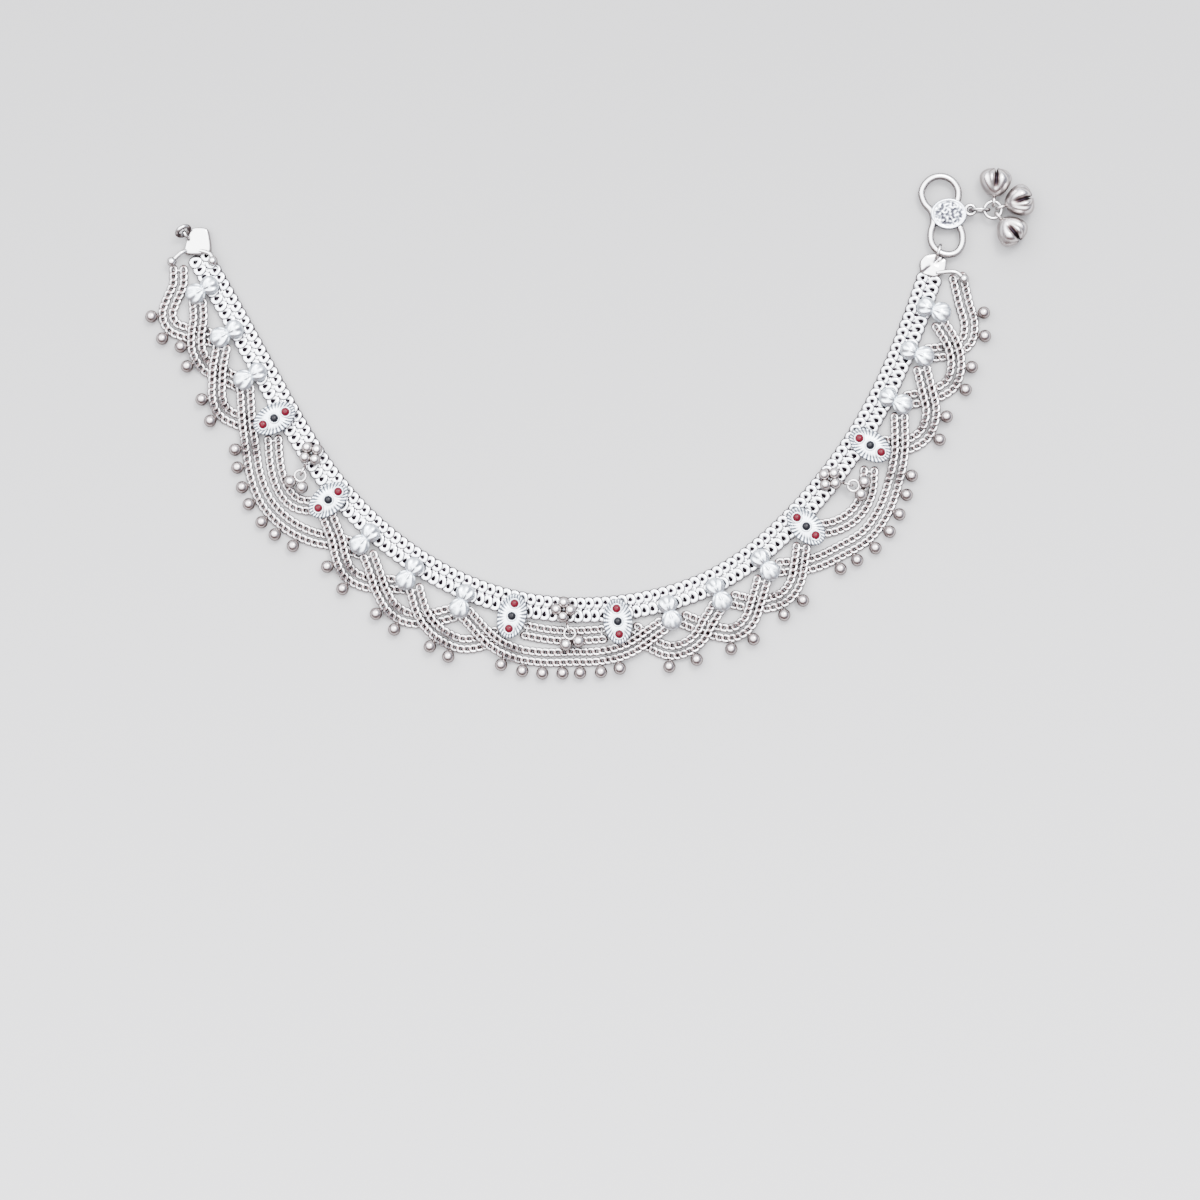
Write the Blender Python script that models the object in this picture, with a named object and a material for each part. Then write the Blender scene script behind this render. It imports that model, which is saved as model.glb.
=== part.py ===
"""Payal anklet: a woven silver band lying open, hung with chain swags, leaves, stone plates and bells.

The band lies flat on its underside in an open arc. X runs along it at mid-length, Y points into the
arc, and Z is up. The origin is on the underside of the band at mid-length.
Places on the anklet are given along the band in stations, which are evenly spaced, and outward from
the band's centre line.
"""
import math

import bmesh
import bpy
import numpy as np
from mathutils import Matrix, Vector

MM = 0.001
GAP = 0.3 * MM

# Band: its length, its section, and its heading in degrees at evenly spaced shares of the length
BAND_LENGTH = 241.7 * MM
BAND_WIDTH = 6.0 * MM
BAND_THICKNESS = 1.6 * MM
BAND_EDGE_SHARE = 0.6
BAND_TOP_SHARE = 0.7
BAND_HEADINGS = (-58.9, -61.4, -58.2, -42.7, -23.8, -2.7, 16.0, 40.2, 53.2, 65.4, 72.2)
BAND_RINGS = 36
LINE_SAMPLES = 1161
LINE_REACH = 0.08

# Stations: 21 places along the band, the first a little way in from its end
STATION_START = 0.029
STATION_STEP = 0.0471
STATION_KINDS = "leaf leaf leaf oval flower oval " * 3 + "leaf leaf leaf"
# Where the ornaments sit, in stations: evenly spaced but for a little unevenness
STATION_PLACES = (0.0, 1.0, 1.96, 2.92, 3.88, 4.81, 5.82, 6.90, 8.02, 9.0, 9.97,
                  11.02, 12.02, 13.0, 14.03, 15.10, 16.10, 17.09, 18.08, 19.09, 20.0)

# Chains: a flat curb chain, laid in pairs that are joined at both ends
CHAIN_WIDTH = 1.95 * MM
CHAIN_HEIGHT = 0.95 * MM
PAIR_SPACING = 2.3 * MM
CHAIN_SIDES = 6
CHAIN_STEP = 3.8 * MM
ROUTE_SAMPLES = 240
ROUTE_POINTS = 121
TURN_BACK_POINTS = 2
LOW = CHAIN_HEIGHT / 2
HIGH = LOW + CHAIN_HEIGHT + GAP
HIGH_RUN = 11.6 * MM
HIGH_FADE = 3.7 * MM

# Ornaments reach over the crossing chains and stand on the band
FOOT_RADIUS = 1.1 * MM
FOOT_SIDES = 6
FOOT_SINK = 0.3 * MM
FOOT_BOTTOM = BAND_THICKNESS + GAP
ORNAMENT_BOTTOM = HIGH + CHAIN_HEIGHT / 2 + GAP

# Balls that hang from the outer chain of a pair on short necks, and the angles of their rings of faces
BALL_RADIUS = 1.3 * MM
BALL_NECK_LENGTH = 0.125 * MM
BALL_NECK_RADIUS = 0.3 * MM
BALL_REACH = CHAIN_WIDTH / 2 + BALL_NECK_LENGTH + BALL_RADIUS
BALL_SIDES = 10
BALL_RINGS = 4
NECKED_BALL_ANGLES = (60.0, 118.0)

# Domes: share of the crown's height and of the width at the shoulder
DOME_SHOULDER_HEIGHT = 0.65
DOME_SHOULDER_WIDTH = 0.72

# Leaves: a lower lobe beside the band and an upper lobe on it, both domed and fluted
LEAF_LOWER_HALF_WIDTH = 2.25 * MM
LEAF_LOWER_HALF_DEPTH = 2.2 * MM
LEAF_UPPER_HALF_WIDTH = 2.0 * MM
LEAF_UPPER_HALF_DEPTH = 1.8 * MM
LEAF_OVERHANG = 1.9 * MM
LEAF_OVERLAP = 0.45 * MM
LEAF_LOWER_OUT = BAND_WIDTH / 2 + LEAF_OVERHANG
LEAF_UPPER_OUT = LEAF_LOWER_OUT - LEAF_LOWER_HALF_DEPTH - LEAF_UPPER_HALF_DEPTH + LEAF_OVERLAP
LEAF_RIM = 0.6 * MM
LEAF_HEIGHT = 1.4 * MM
LEAF_FLUTE = 0.14 * MM
LEAF_SIDES = 10

# Oval plates with three stones
PLATE_OUT = BAND_WIDTH / 2
PLATE_HALF_LENGTH = 4.9 * MM
PLATE_HALF_WIDTH = 3.3 * MM
PLATE_THICKNESS = 0.9 * MM
PLATE_RIM_INSET = 0.45 * MM
PLATE_RIM_DROP = 0.25 * MM
PLATE_FOOT_OUT = 0.4 * MM
PLATE_SIDES = 14
STONE_SPACING = 2.9 * MM
STONE_RADIUS = 0.85 * MM
STONE_HEIGHT = 0.7 * MM
STONE_RIM = 0.35 * MM
STONE_SINK = 0.2 * MM
STONE_COUNT = 3
STONE_SIDES = 8

# Wire eyes and rings: faces round the ring and round the wire
EYE_TURNS = 10
RING_TURNS = 12
WIRE_SIDES = 5

# Flowers: four balls that meet, with a wire eye for the drops
PETAL_COUNT = 4
PETAL_RADIUS = 1.15 * MM
PETAL_OVERLAP = 0.18 * MM
PETAL_REACH = (2 * PETAL_RADIUS - PETAL_OVERLAP) / math.sqrt(2)
EYE_WIRE = 0.3 * MM
EYE_CLEARANCE = 0.35 * MM
EYE_RADIUS = 2 * EYE_WIRE + EYE_CLEARANCE
STALK_SIDES = 6
FLOWER_EYE_OUT = 4.3 * MM

# Drops: a ring through the flower's eye with balls soldered on, turned in degrees from straight out
DROP_TURNS = (31.0, 18.0, 23.0)
DROP_BALL_COUNT = 2
DROP_SPREAD = 68.0
DROP_SINK = 0.1 * MM
DROP_RING_RADIUS = 1.25 * MM
DROP_BALL_REACH = ((DROP_RING_RADIUS + EYE_WIRE) * math.cos(math.pi / RING_TURNS)
                   + BALL_RADIUS * math.cos(math.pi / BALL_SIDES) - DROP_SINK)
DROP_LEVEL = CHAIN_HEIGHT + GAP + BALL_RADIUS

# Rings of the fastening
RING_WIRE = 0.35 * MM
START_RING_WIRE = 0.5 * MM
START_RING_RADIUS = 1.5 * MM
START_RING_LEAN = 62.0
JUMP_RING_RADIUS = 2.1 * MM
BELL_RING_RADIUS = 1.9 * MM
BELL_RING_TURNS = 14

# S-hook: its wire, its oval disc, and the lug at the disc's edge that the jump ring passes through.
# The jump ring stands upright in the lug and just clears the ground, which sets the hook's level
HOOK_WIRE = 0.75 * MM
HOOK_SIDES = 6
HOOK_RINGS = 29
LUG_WIRE = 0.4 * MM
LUG_CLEARANCE = 0.3 * MM
LUG_RADIUS = RING_WIRE + LUG_CLEARANCE + LUG_WIRE
LUG_SINK = 0.3 * MM
LUG_SIDE = 0.9 * MM
GROUND_CLEARANCE = 0.05 * MM
HOOK_LEVEL = JUMP_RING_RADIUS + RING_WIRE - LUG_WIRE + GROUND_CLEARANCE
DISC_HALF_LENGTH = 4.1 * MM
DISC_HALF_WIDTH = 3.5 * MM
DISC_THICKNESS = 0.9 * MM
DISC_SIDES = 16
# Route of the wire from the disc's centre, in shares of HOOK_SIZE: lower loop, crossing, upper ring
HOOK_SIZE = 10.0 * MM
HOOK_ROUTE = (
    (0.24, -0.27), (0.31, -0.46), (0.30, -0.69), (0.18, -0.86), (-0.02, -0.91), (-0.23, -0.84),
    (-0.38, -0.66), (-0.40, -0.42), (-0.34, -0.18), (-0.39, 0.06), (-0.54, 0.24), (-0.61, 0.48),
    (-0.51, 0.70), (-0.32, 0.83), (-0.10, 0.84), (0.09, 0.74), (0.21, 0.55), (0.21, 0.34), (0.12, 0.16),
)
HOOK_LOW_POINT = 5

# End caps: a rounded plate that leans inward, an eye beyond it, and a bar with ball ends over it
BAR_WIRE = 0.5 * MM
BAR_SINK = 0.3 * MM
BAR_LEVEL = BAND_THICKNESS + GAP + BAR_WIRE
BAR_BALL_RADIUS = 1.1 * MM
BAR_RINGS = 8
BAR_SIDES = 6
CAP_LENGTH = 4.3 * MM
CAP_HALF_WIDTH = 2.9 * MM
CAP_THICKNESS = BAR_LEVEL - BAR_WIRE + BAR_SINK
CAP_SHOULDER_HEIGHT = 0.75
CAP_SHOULDER_WIDTH = 0.86
CAP_EYE_WIRE = 0.35 * MM
CAP_EYE_CLEARANCE = 0.4 * MM
CAP_EYE_RADIUS = HOOK_WIRE + CAP_EYE_CLEARANCE + CAP_EYE_WIRE
CAP_EYE_BEYOND = 1.45 * MM
CAP_EYE_AHEAD = CAP_LENGTH + CAP_EYE_BEYOND
# Half of each plate's outline, as shares of the cap's length and half width, and how far it leans
# inward for each length ahead
LEFT_OUTLINE = ((0.0, 0.62), (0.0, 0.86), (0.18, 1.0), (0.62, 0.97), (0.90, 0.80), (1.0, 0.48))
LEFT_LEAN = 0.36
RIGHT_OUTLINE = ((0.0, 0.45), (0.0, 0.60), (0.30, 0.88), (0.60, 1.0), (0.86, 0.80), (1.0, 0.42))
RIGHT_LEAN = 0.22
# Bars: ahead of the band's end, outward from its centre line, and rise over BAR_LEVEL, in shares of
# BAR_SIZE
BAR_SIZE = 10.0 * MM
LEFT_BAR = (
    (-0.27, -0.22, 0.07), (-0.10, -0.25, 0.02), (0.10, -0.08, 0.0),
    (0.22, 0.12, 0.0), (0.26, 0.30, 0.0), (0.20, 0.58, 0.0),
)
RIGHT_BAR = ((0.10, 0.10, 0.0), (0.17, 0.26, 0.0), (0.23, 0.42, 0.0), (0.24, 0.56, 0.0), (0.16, 0.74, 0.0))

# Bells: hollow buds that a slit parts into two petals at the mouth, and the directions in degrees in
# which they stand out from their ring. They rest on their belly, at a share of their length
BELL_DIRECTIONS = (86.0, 18.0, -50.0)
BELL_LENGTH = 5.6 * MM
BELL_RADIUS = 3.3 * MM
BELL_SLIT = 0.8 * MM
BELL_SLIT_DEPTH = 3.0 * MM
BELL_SLIT_HEIGHT = 2.4
BELL_SIDES = 10
BELL_EYE_WIRE = 0.35 * MM
BELL_EYE_CLEARANCE = 0.35 * MM
BELL_EYE_RADIUS = RING_WIRE + BELL_EYE_CLEARANCE + BELL_EYE_WIRE
BELL_EYE_SINK = 0.2 * MM
BELL_GROUND_CLEARANCE = 0.2 * MM
BELL_BELLY = 0.7
# Profiles of the wall, as shares of the bell's length and radius
BELL_OUTSIDE = ((0.0, 0.30), (0.20, 0.70), (0.50, 0.96), (0.74, 1.0), (1.0, 0.66))
BELL_INSIDE = ((1.0, 0.54), (0.74, 0.84), (0.50, 0.80), (0.22, 0.50), (0.14, 0.0))

# Swags: their routes are (stations along the band, ROUTE_UNITs out from its centre line), and an end
# is high where it rides over a neighbour
ROUTE_UNIT = 1.0 * MM
SWAGS = (
    # name, start, end, route
    ("swag_01", "low", "low", ((-0.59, 5.6), (-0.34, 7.4), (-0.15, 10.3), (0.06, 12.8), (0.34, 13.1),
                               (0.61, 10.6), (0.93, 6.4))),
    ("swag_02", "high", "low", ((0.19, 5.6), (0.47, 7.2), (0.72, 9.3), (1.02, 10.9), (1.36, 10.8),
                                (1.63, 8.8), (1.93, 6.4))),
    ("swag_03", "high", "low", ((1.21, 5.9), (1.49, 8.5), (1.74, 10.3), (2.02, 12.0), (2.31, 12.4),
                                (2.57, 10.6), (2.79, 8.4))),
    ("swag_04", "high", "low", ((2.14, 5.6), (2.65, 8.4), (3.16, 10.9), (3.67, 13.4), (4.16, 14.6),
                                (4.67, 13.7), (5.12, 11.2), (5.52, 7.6), (5.88, 5.8))),
    ("swag_05", "low", "low", ((3.27, 5.8), (3.60, 7.8), (3.90, 9.2), (4.20, 9.9), (4.48, 9.2),
                               (4.72, 6.6))),
    ("swag_06", "high", "low", ((5.02, 5.5), (5.44, 7.6), (5.71, 9.8), (6.01, 11.4), (6.33, 10.6),
                                (6.62, 8.2), (6.92, 6.0))),
    ("swag_07", "high", "low", ((6.10, 5.6), (6.36, 7.5), (6.64, 10.0), (6.96, 11.9), (7.28, 11.9),
                                (7.62, 9.6), (7.93, 6.5))),
    ("swag_08", "high", "low", ((7.14, 5.7), (7.43, 9.2), (7.69, 11.2), (7.98, 12.2), (8.28, 12.2),
                                (8.55, 10.6), (8.80, 8.2))),
    ("swag_09", "high", "high", ((8.19, 5.7), (8.73, 9.4), (9.17, 11.0), (9.66, 11.1), (10.15, 10.6),
                                 (10.64, 10.5), (11.17, 9.3), (11.81, 5.7))),
    ("swag_10", "low", "low", ((9.32, 5.6), (9.62, 5.8), (9.92, 5.9), (10.21, 5.8), (10.45, 5.7),
                               (10.70, 5.6))),
    ("swag_11", "low", "high", ((11.32, 5.7), (11.60, 9.4), (11.87, 11.6), (12.17, 11.6),
                                (12.42, 10.2), (12.61, 8.0), (12.86, 5.7))),
    ("swag_12", "low", "high", ((12.26, 5.8), (12.66, 10.2), (12.95, 12.4), (13.25, 11.6),
                                (13.52, 8.7), (13.80, 5.7))),
    ("swag_13", "low", "high", ((13.22, 6.0), (13.46, 8.8), (13.72, 10.8), (13.99, 11.5),
                                (14.27, 10.4), (14.50, 8.2), (14.75, 5.7))),
    ("swag_14", "low", "high", ((14.23, 5.8), (14.69, 9.9), (15.20, 12.4), (15.73, 14.4),
                                (16.26, 14.0), (16.79, 12.0), (17.30, 9.4), (17.83, 5.7))),
    ("swag_15", "low", "low", ((15.27, 5.9), (15.50, 7.9), (15.78, 9.2), (16.08, 9.4), (16.38, 8.4),
                               (16.68, 6.2))),
    ("swag_16", "low", "high", ((17.26, 5.9), (17.48, 10.3), (17.81, 12.4), (18.20, 11.4),
                                (18.51, 8.6), (18.83, 5.7))),
    ("swag_17", "low", "high", ((18.22, 5.8), (18.49, 10.0), (18.81, 12.8), (19.19, 12.2),
                                (19.51, 9.7), (19.77, 5.8))),
    ("swag_18", "low", "low", ((19.19, 5.7), (19.38, 9.6), (19.66, 12.5), (20.00, 11.8),
                               (20.32, 9.2), (20.74, 6.2))),
)

# Balls on each swag, as shares of its outer chain
SWAG_BALLS = {
    "swag_01": (0.46, 0.59), "swag_02": (0.42, 0.56), "swag_03": (0.51, 0.67),
    "swag_04": (0.26, 0.34, 0.42, 0.49, 0.57, 0.64, 0.72), "swag_06": (0.40, 0.55),
    "swag_07": (0.43, 0.57), "swag_08": (0.46, 0.61),
    "swag_09": (0.25, 0.335, 0.42, 0.505, 0.59, 0.675, 0.755), "swag_11": (0.38, 0.56),
    "swag_12": (0.42, 0.55), "swag_13": (0.42, 0.57),
    "swag_14": (0.25, 0.335, 0.42, 0.50, 0.58, 0.665, 0.75), "swag_16": (0.42, 0.58),
    "swag_17": (0.44, 0.59), "swag_18": (0.46, 0.62),
}

SILVER = (0.86, 0.87, 0.89, 1.0)
SILVER_POLISHED = (0.93, 0.94, 0.96, 1.0)


def smooth_rows(rows, place):
    """Catmull-Rom value at a place from 0 to 1 through evenly spaced rows; straight on past the ends."""
    rows = np.asarray(rows, float)
    last = len(rows) - 1
    before = np.clip(int(math.floor(place * last)), 0, last - 1)
    step = place * last - before
    p1 = rows[before]
    p2 = rows[before + 1]
    p0 = rows[before - 1] if before > 0 else 2 * p1 - p2
    p3 = rows[before + 2] if before + 2 <= last else 2 * p2 - p1
    step = min(max(step, 0.0), 1.0)
    return 0.5 * (2 * p1 + (p2 - p0) * step + (2 * p0 - 5 * p1 + 4 * p2 - p3) * step ** 2
                  + (3 * p1 - p0 - 3 * p2 + p3) * step ** 3)


def resample(points, spacing=None, count=None):
    """Points at even distances along a polyline."""
    points = np.asarray(points, float)
    steps = np.linalg.norm(np.diff(points, axis=0), axis=1)
    along = np.concatenate(([0.0], np.cumsum(steps)))
    if count is None:
        count = max(int(round(along[-1] / spacing)) + 1, 3)
    places = np.linspace(0.0, along[-1], count)
    return np.stack([np.interp(places, along, points[:, axis]) for axis in range(points.shape[1])], 1)


class BandLine:
    """Centre line of the band, worked out from its headings."""

    def __init__(self):
        self.shares = np.linspace(-LINE_REACH, 1.0 + LINE_REACH, LINE_SAMPLES)
        headings = np.radians([smooth_rows(BAND_HEADINGS, share) for share in self.shares])
        ahead = np.stack([np.cos(headings), np.sin(headings)], 1)
        steps = (ahead[1:] + ahead[:-1]) / 2 * np.diff(self.shares)[:, None] * BAND_LENGTH
        line = np.vstack([[0.0, 0.0], np.cumsum(steps, axis=0)])
        self.line = line - line[np.argmin(abs(self.shares - 0.5))]
        self.headings = headings

    def frame(self, share):
        """Point, direction along the band, and direction outward, all in the XY plane."""
        point = np.array([np.interp(share, self.shares, self.line[:, axis]) for axis in range(2)])
        heading = np.interp(share, self.shares, self.headings)
        ahead = np.array([math.cos(heading), math.sin(heading)])
        return point, ahead, np.array([ahead[1], -ahead[0]])

    def at_station(self, station, out):
        point, _, outward = self.frame(STATION_START + STATION_STEP * station)
        return point + outward * out

    def matrix(self, station):
        """Frame on the ground below a station: local X runs along the band and local Y points inward."""
        point, ahead, outward = self.frame(STATION_START + STATION_STEP * station)
        inward = -outward
        return Matrix(((ahead[0], inward[0], 0, point[0]), (ahead[1], inward[1], 0, point[1]),
                       (0, 0, 1, 0), (0, 0, 0, 1)))


def new_material(name, colour, roughness):
    material = bpy.data.materials.new(name)
    material.use_nodes = True
    shader = material.node_tree.nodes["Principled BSDF"]
    shader.inputs["Base Color"].default_value = colour
    shader.inputs["Metallic"].default_value = 1.0
    shader.inputs["Roughness"].default_value = roughness
    material.diffuse_color = colour
    return material


def new_object(name, mesh_builder, material, smooth=True):
    """Object from a bmesh, shaded smooth with its sharp edges kept."""
    bmesh.ops.recalc_face_normals(mesh_builder, faces=mesh_builder.faces)
    mesh = bpy.data.meshes.new(name)
    mesh_builder.to_mesh(mesh)
    mesh_builder.free()
    if smooth:
        mesh.shade_smooth()
        mesh.set_sharp_from_angle(angle=math.radians(40))
    obj = bpy.data.objects.new(name, mesh)
    bpy.context.collection.objects.link(obj)
    obj.data.materials.append(material)
    return obj


def fuse(name, builders, material, cuts=()):
    """One solid from several closed shapes, less the cuts."""
    body = new_object(name, builders[0], material)
    steps = [(builder, "UNION") for builder in builders[1:]] + [(cut, "DIFFERENCE") for cut in cuts]
    for number, (builder, operation) in enumerate(steps):
        helper = new_object(f"{name}_shape_{number}", builder, material)
        helper.hide_render = True
        helper.display_type = "WIRE"
        modifier = body.modifiers.new(helper.name, "BOOLEAN")
        modifier.operation = operation
        modifier.solver = "EXACT"
        modifier.object = helper
    return body


def loft(rings, closed=False):
    """Mesh through rings of points; the ends are capped unless the run is closed."""
    builder = bmesh.new()
    rows = [[builder.verts.new(point) for point in ring] for ring in rings]
    pairs = list(zip(rows[:-1], rows[1:]))
    if closed:
        pairs.append((rows[-1], rows[0]))
    for row, following in pairs:
        for side in range(len(row)):
            beside = (side + 1) % len(row)
            builder.faces.new((row[side], row[beside], following[beside], following[side]))
    if not closed:
        builder.faces.new(rows[0])
        builder.faces.new(rows[-1])
    return builder


def flat_sweep(points, half_width, half_height, sides, closed=False):
    """Oval section carried along a nearly level route, its short axis kept upright."""
    points = np.asarray(points, float)
    if closed:
        ahead = np.roll(points, -1, axis=0) - np.roll(points, 1, axis=0)
    else:
        ahead = np.gradient(points, axis=0)
    flat_top = math.cos(math.pi / sides)
    rings = []
    for point, direction in zip(points, ahead):
        across = Vector((direction[1], -direction[0], 0.0)).normalized()
        ring = []
        for side in range(sides):
            turn = 2 * math.pi * side / sides
            ring.append(Vector(point) + across * half_width * math.cos(turn)
                        + Vector((0, 0, half_height * math.sin(turn) / flat_top)))
        rings.append(ring)
    return loft(rings, closed)


def torus(centre, axis, radius, wire, turns):
    """Ring of round wire about an axis."""
    axis = Vector(axis).normalized()
    first = axis.orthogonal().normalized()
    second = axis.cross(first)
    rings = []
    for turn in range(turns):
        angle = 2 * math.pi * turn / turns
        outward = first * math.cos(angle) + second * math.sin(angle)
        ring = []
        for side in range(WIRE_SIDES):
            lean = 2 * math.pi * side / WIRE_SIDES
            ring.append(Vector(centre) + outward * (radius + wire * math.cos(lean))
                        + axis * wire * math.sin(lean))
        rings.append(ring)
    return loft(rings, closed=True)


def turned(profile, start, direction, sides):
    """Solid turned about a line: the profile's rows are (distance ahead, radius)."""
    direction = Vector(direction).normalized()
    first = direction.cross(Vector((0, 0, 1)))
    first = first.normalized() if first.length > 0.01 else Vector((1, 0, 0))
    second = direction.cross(first)
    builder = bmesh.new()
    rows = []
    for ahead, radius in profile:
        centre = Vector(start) + direction * ahead
        if radius == 0.0:
            rows.append([builder.verts.new(centre)])
            continue
        row = []
        for side in range(sides):
            angle = 2 * math.pi * side / sides
            outward = first * math.cos(angle) + second * math.sin(angle)
            row.append(builder.verts.new(centre + outward * radius))
        rows.append(row)
    for row, following in zip(rows[:-1], rows[1:]):
        for side in range(sides):
            beside = (side + 1) % sides
            corners = [row[side % len(row)], row[beside % len(row)],
                       following[beside % len(following)], following[side % len(following)]]
            unique = list(dict.fromkeys(corners))
            builder.faces.new(unique)
    return builder


def ball(centre, radius):
    """Ball with its poles above and below."""
    profile = [(-radius, 0.0)]
    for ring in range(1, BALL_RINGS):
        angle = math.pi * ring / BALL_RINGS
        profile.append((-radius * math.cos(angle), radius * math.sin(angle)))
    profile.append((radius, 0.0))
    return turned(profile, centre, (0, 0, 1), BALL_SIDES)


def necked_ball(start, end):
    """Ball at the end of a short neck."""
    reach = end - start
    length = np.linalg.norm(reach)
    profile = [(0.0, 0.0), (0.0, BALL_NECK_RADIUS)]
    for angle in np.radians(NECKED_BALL_ANGLES):
        profile.append((length - BALL_RADIUS * math.cos(angle), BALL_RADIUS * math.sin(angle)))
    profile.append((length + BALL_RADIUS, 0.0))
    return turned(profile, start, reach, BALL_SIDES)


def rod(start, direction, length, radius, sides):
    """Straight round rod."""
    return turned(((0.0, 0.0), (0.0, radius), (length, radius), (length, 0.0)), start, direction, sides)


def dome(half_x, half_y, bottom, rim, height, sides, out, flute=0.0):
    """Oval dome on a short upright rim; flutes raise every other corner of its shoulder."""
    shoulder = bottom + rim + (height - rim) * DOME_SHOULDER_HEIGHT
    levels = ((bottom, 1.0, 0.0), (bottom + rim, 1.0, 0.0), (shoulder, DOME_SHOULDER_WIDTH, flute))
    builder = bmesh.new()
    rows = []
    for level, share, swing in levels:
        row = []
        for side in range(sides):
            angle = 2 * math.pi * (side + 0.5) / sides
            raised = swing if side % 2 == 0 else -swing
            row.append(builder.verts.new((half_x * share * math.cos(angle),
                                          half_y * share * math.sin(angle) - out, level + raised)))
        rows.append(row)
    for row, following in zip(rows[:-1], rows[1:]):
        for side in range(sides):
            beside = (side + 1) % sides
            if side % 2 == 0:
                builder.faces.new((row[side], row[beside], following[side]))
                builder.faces.new((row[beside], following[beside], following[side]))
            else:
                builder.faces.new((row[side], row[beside], following[beside]))
                builder.faces.new((row[side], following[beside], following[side]))
    crown = builder.verts.new((0.0, -out, bottom + height))
    for side in range(sides):
        builder.faces.new((rows[-1][side], rows[-1][(side + 1) % sides], crown))
    builder.faces.new(rows[0])
    return builder


def join(builders):
    """Several shapes that don't touch, as one helper mesh."""
    joined = bmesh.new()
    for builder in builders:
        mesh = bpy.data.meshes.new("joined")
        builder.to_mesh(mesh)
        builder.free()
        joined.from_mesh(mesh)
        bpy.data.meshes.remove(mesh)
    return joined


def make_band(line, material):
    half = BAND_WIDTH / 2
    edge = BAND_THICKNESS * BAND_EDGE_SHARE
    flat = half * BAND_TOP_SHARE
    section = ((-half, 0.0), (half, 0.0), (half, edge), (flat, BAND_THICKNESS),
               (-flat, BAND_THICKNESS), (-half, edge))
    rings = []
    for ring in range(BAND_RINGS + 1):
        point, _, outward = line.frame(ring / BAND_RINGS)
        rings.append([(*(point + outward * out), level) for out, level in section])
    return new_object("band", loft(rings), material, smooth=False)


def swag_loop(line, route, start_level, end_level):
    """Closed loop of chain: out along the outer side, round, and back along the inner side."""
    rows = [line.at_station(station, out * ROUTE_UNIT) for station, out in route]
    fine = np.array([smooth_rows(rows, place) for place in np.linspace(0, 1, ROUTE_SAMPLES)])
    centre = resample(fine, count=ROUTE_POINTS)
    ahead = np.gradient(centre, axis=0)
    ahead /= np.linalg.norm(ahead, axis=1)[:, None]
    outward = np.stack([ahead[:, 1], -ahead[:, 0]], 1)
    half = PAIR_SPACING / 2
    length = np.linalg.norm(np.diff(fine, axis=0), axis=1).sum()
    runs = np.linspace(0, length, len(centre))
    levels = np.array([swag_level(run, length, start_level, end_level) for run in runs])
    outer = np.column_stack([centre + outward * half, levels])
    inner = np.column_stack([centre - outward * half, levels])

    def turn_back(at, direction, side, level):
        """Half circle that joins the two chains beyond one end."""
        bend = []
        for angle in np.linspace(0, math.pi, TURN_BACK_POINTS + 2)[1:-1]:
            point = at + side * half * math.cos(angle) + direction * half * math.sin(angle)
            bend.append((*point, level))
        return np.array(bend)

    far_end = turn_back(centre[-1], ahead[-1], outward[-1], levels[-1])
    near_end = turn_back(centre[0], -ahead[0], -outward[0], levels[0])
    outer_run = resample(outer, CHAIN_STEP)
    inner_run = resample(inner[::-1], CHAIN_STEP)
    return np.vstack([outer_run, far_end, inner_run, near_end]), outer


def swag_level(run, length, start_level, end_level):
    """Height of the chain along a swag: high over a neighbour at either end, low between."""
    def ease(value):
        value = min(max(value, 0.0), 1.0)
        return value * value * (3 - 2 * value)
    level = LOW
    if start_level == "high":
        level = max(level, HIGH + (LOW - HIGH) * ease((run - HIGH_RUN) / HIGH_FADE))
    if end_level == "high":
        level = max(level, HIGH + (LOW - HIGH) * ease((length - run - HIGH_RUN) / HIGH_FADE))
    return level


def make_swag(line, name, start_level, end_level, route, material):
    loop, outer = swag_loop(line, route, start_level, end_level)
    chain = flat_sweep(loop, CHAIN_WIDTH / 2, CHAIN_HEIGHT / 2, CHAIN_SIDES, closed=True)
    balls = []
    for share in SWAG_BALLS.get(name, ()):
        place = share * (len(outer) - 1)
        before = int(place)
        start = outer[before] + (outer[before + 1] - outer[before]) * (place - before)
        ahead = outer[before + 1] - outer[before - 1]
        side = np.array([ahead[1], -ahead[0], 0.0])
        side /= np.linalg.norm(side)
        end = start + side * BALL_REACH
        end[2] = max(BALL_RADIUS, start[2])
        balls.append(necked_ball(start, end))
    if balls:
        return fuse(name, [chain, join(balls)], material)
    return new_object(name, chain, material)


def make_leaf(line, name, station, material):
    drop = ORNAMENT_BOTTOM - FOOT_BOTTOM
    upper = dome(LEAF_UPPER_HALF_WIDTH, LEAF_UPPER_HALF_DEPTH, FOOT_BOTTOM, LEAF_RIM + drop,
                 LEAF_HEIGHT + drop, LEAF_SIDES, LEAF_UPPER_OUT, LEAF_FLUTE)
    lower = dome(LEAF_LOWER_HALF_WIDTH, LEAF_LOWER_HALF_DEPTH, ORNAMENT_BOTTOM, LEAF_RIM,
                 LEAF_HEIGHT, LEAF_SIDES, LEAF_LOWER_OUT, LEAF_FLUTE)
    body = fuse(name, [upper, lower], material)
    place_all(body, line.matrix(station))
    return body


def place_all(body, matrix):
    """Moves an object and the helper shapes of its modifiers."""
    body.matrix_world = matrix
    for modifier in body.modifiers:
        modifier.object.matrix_world = matrix


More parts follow.
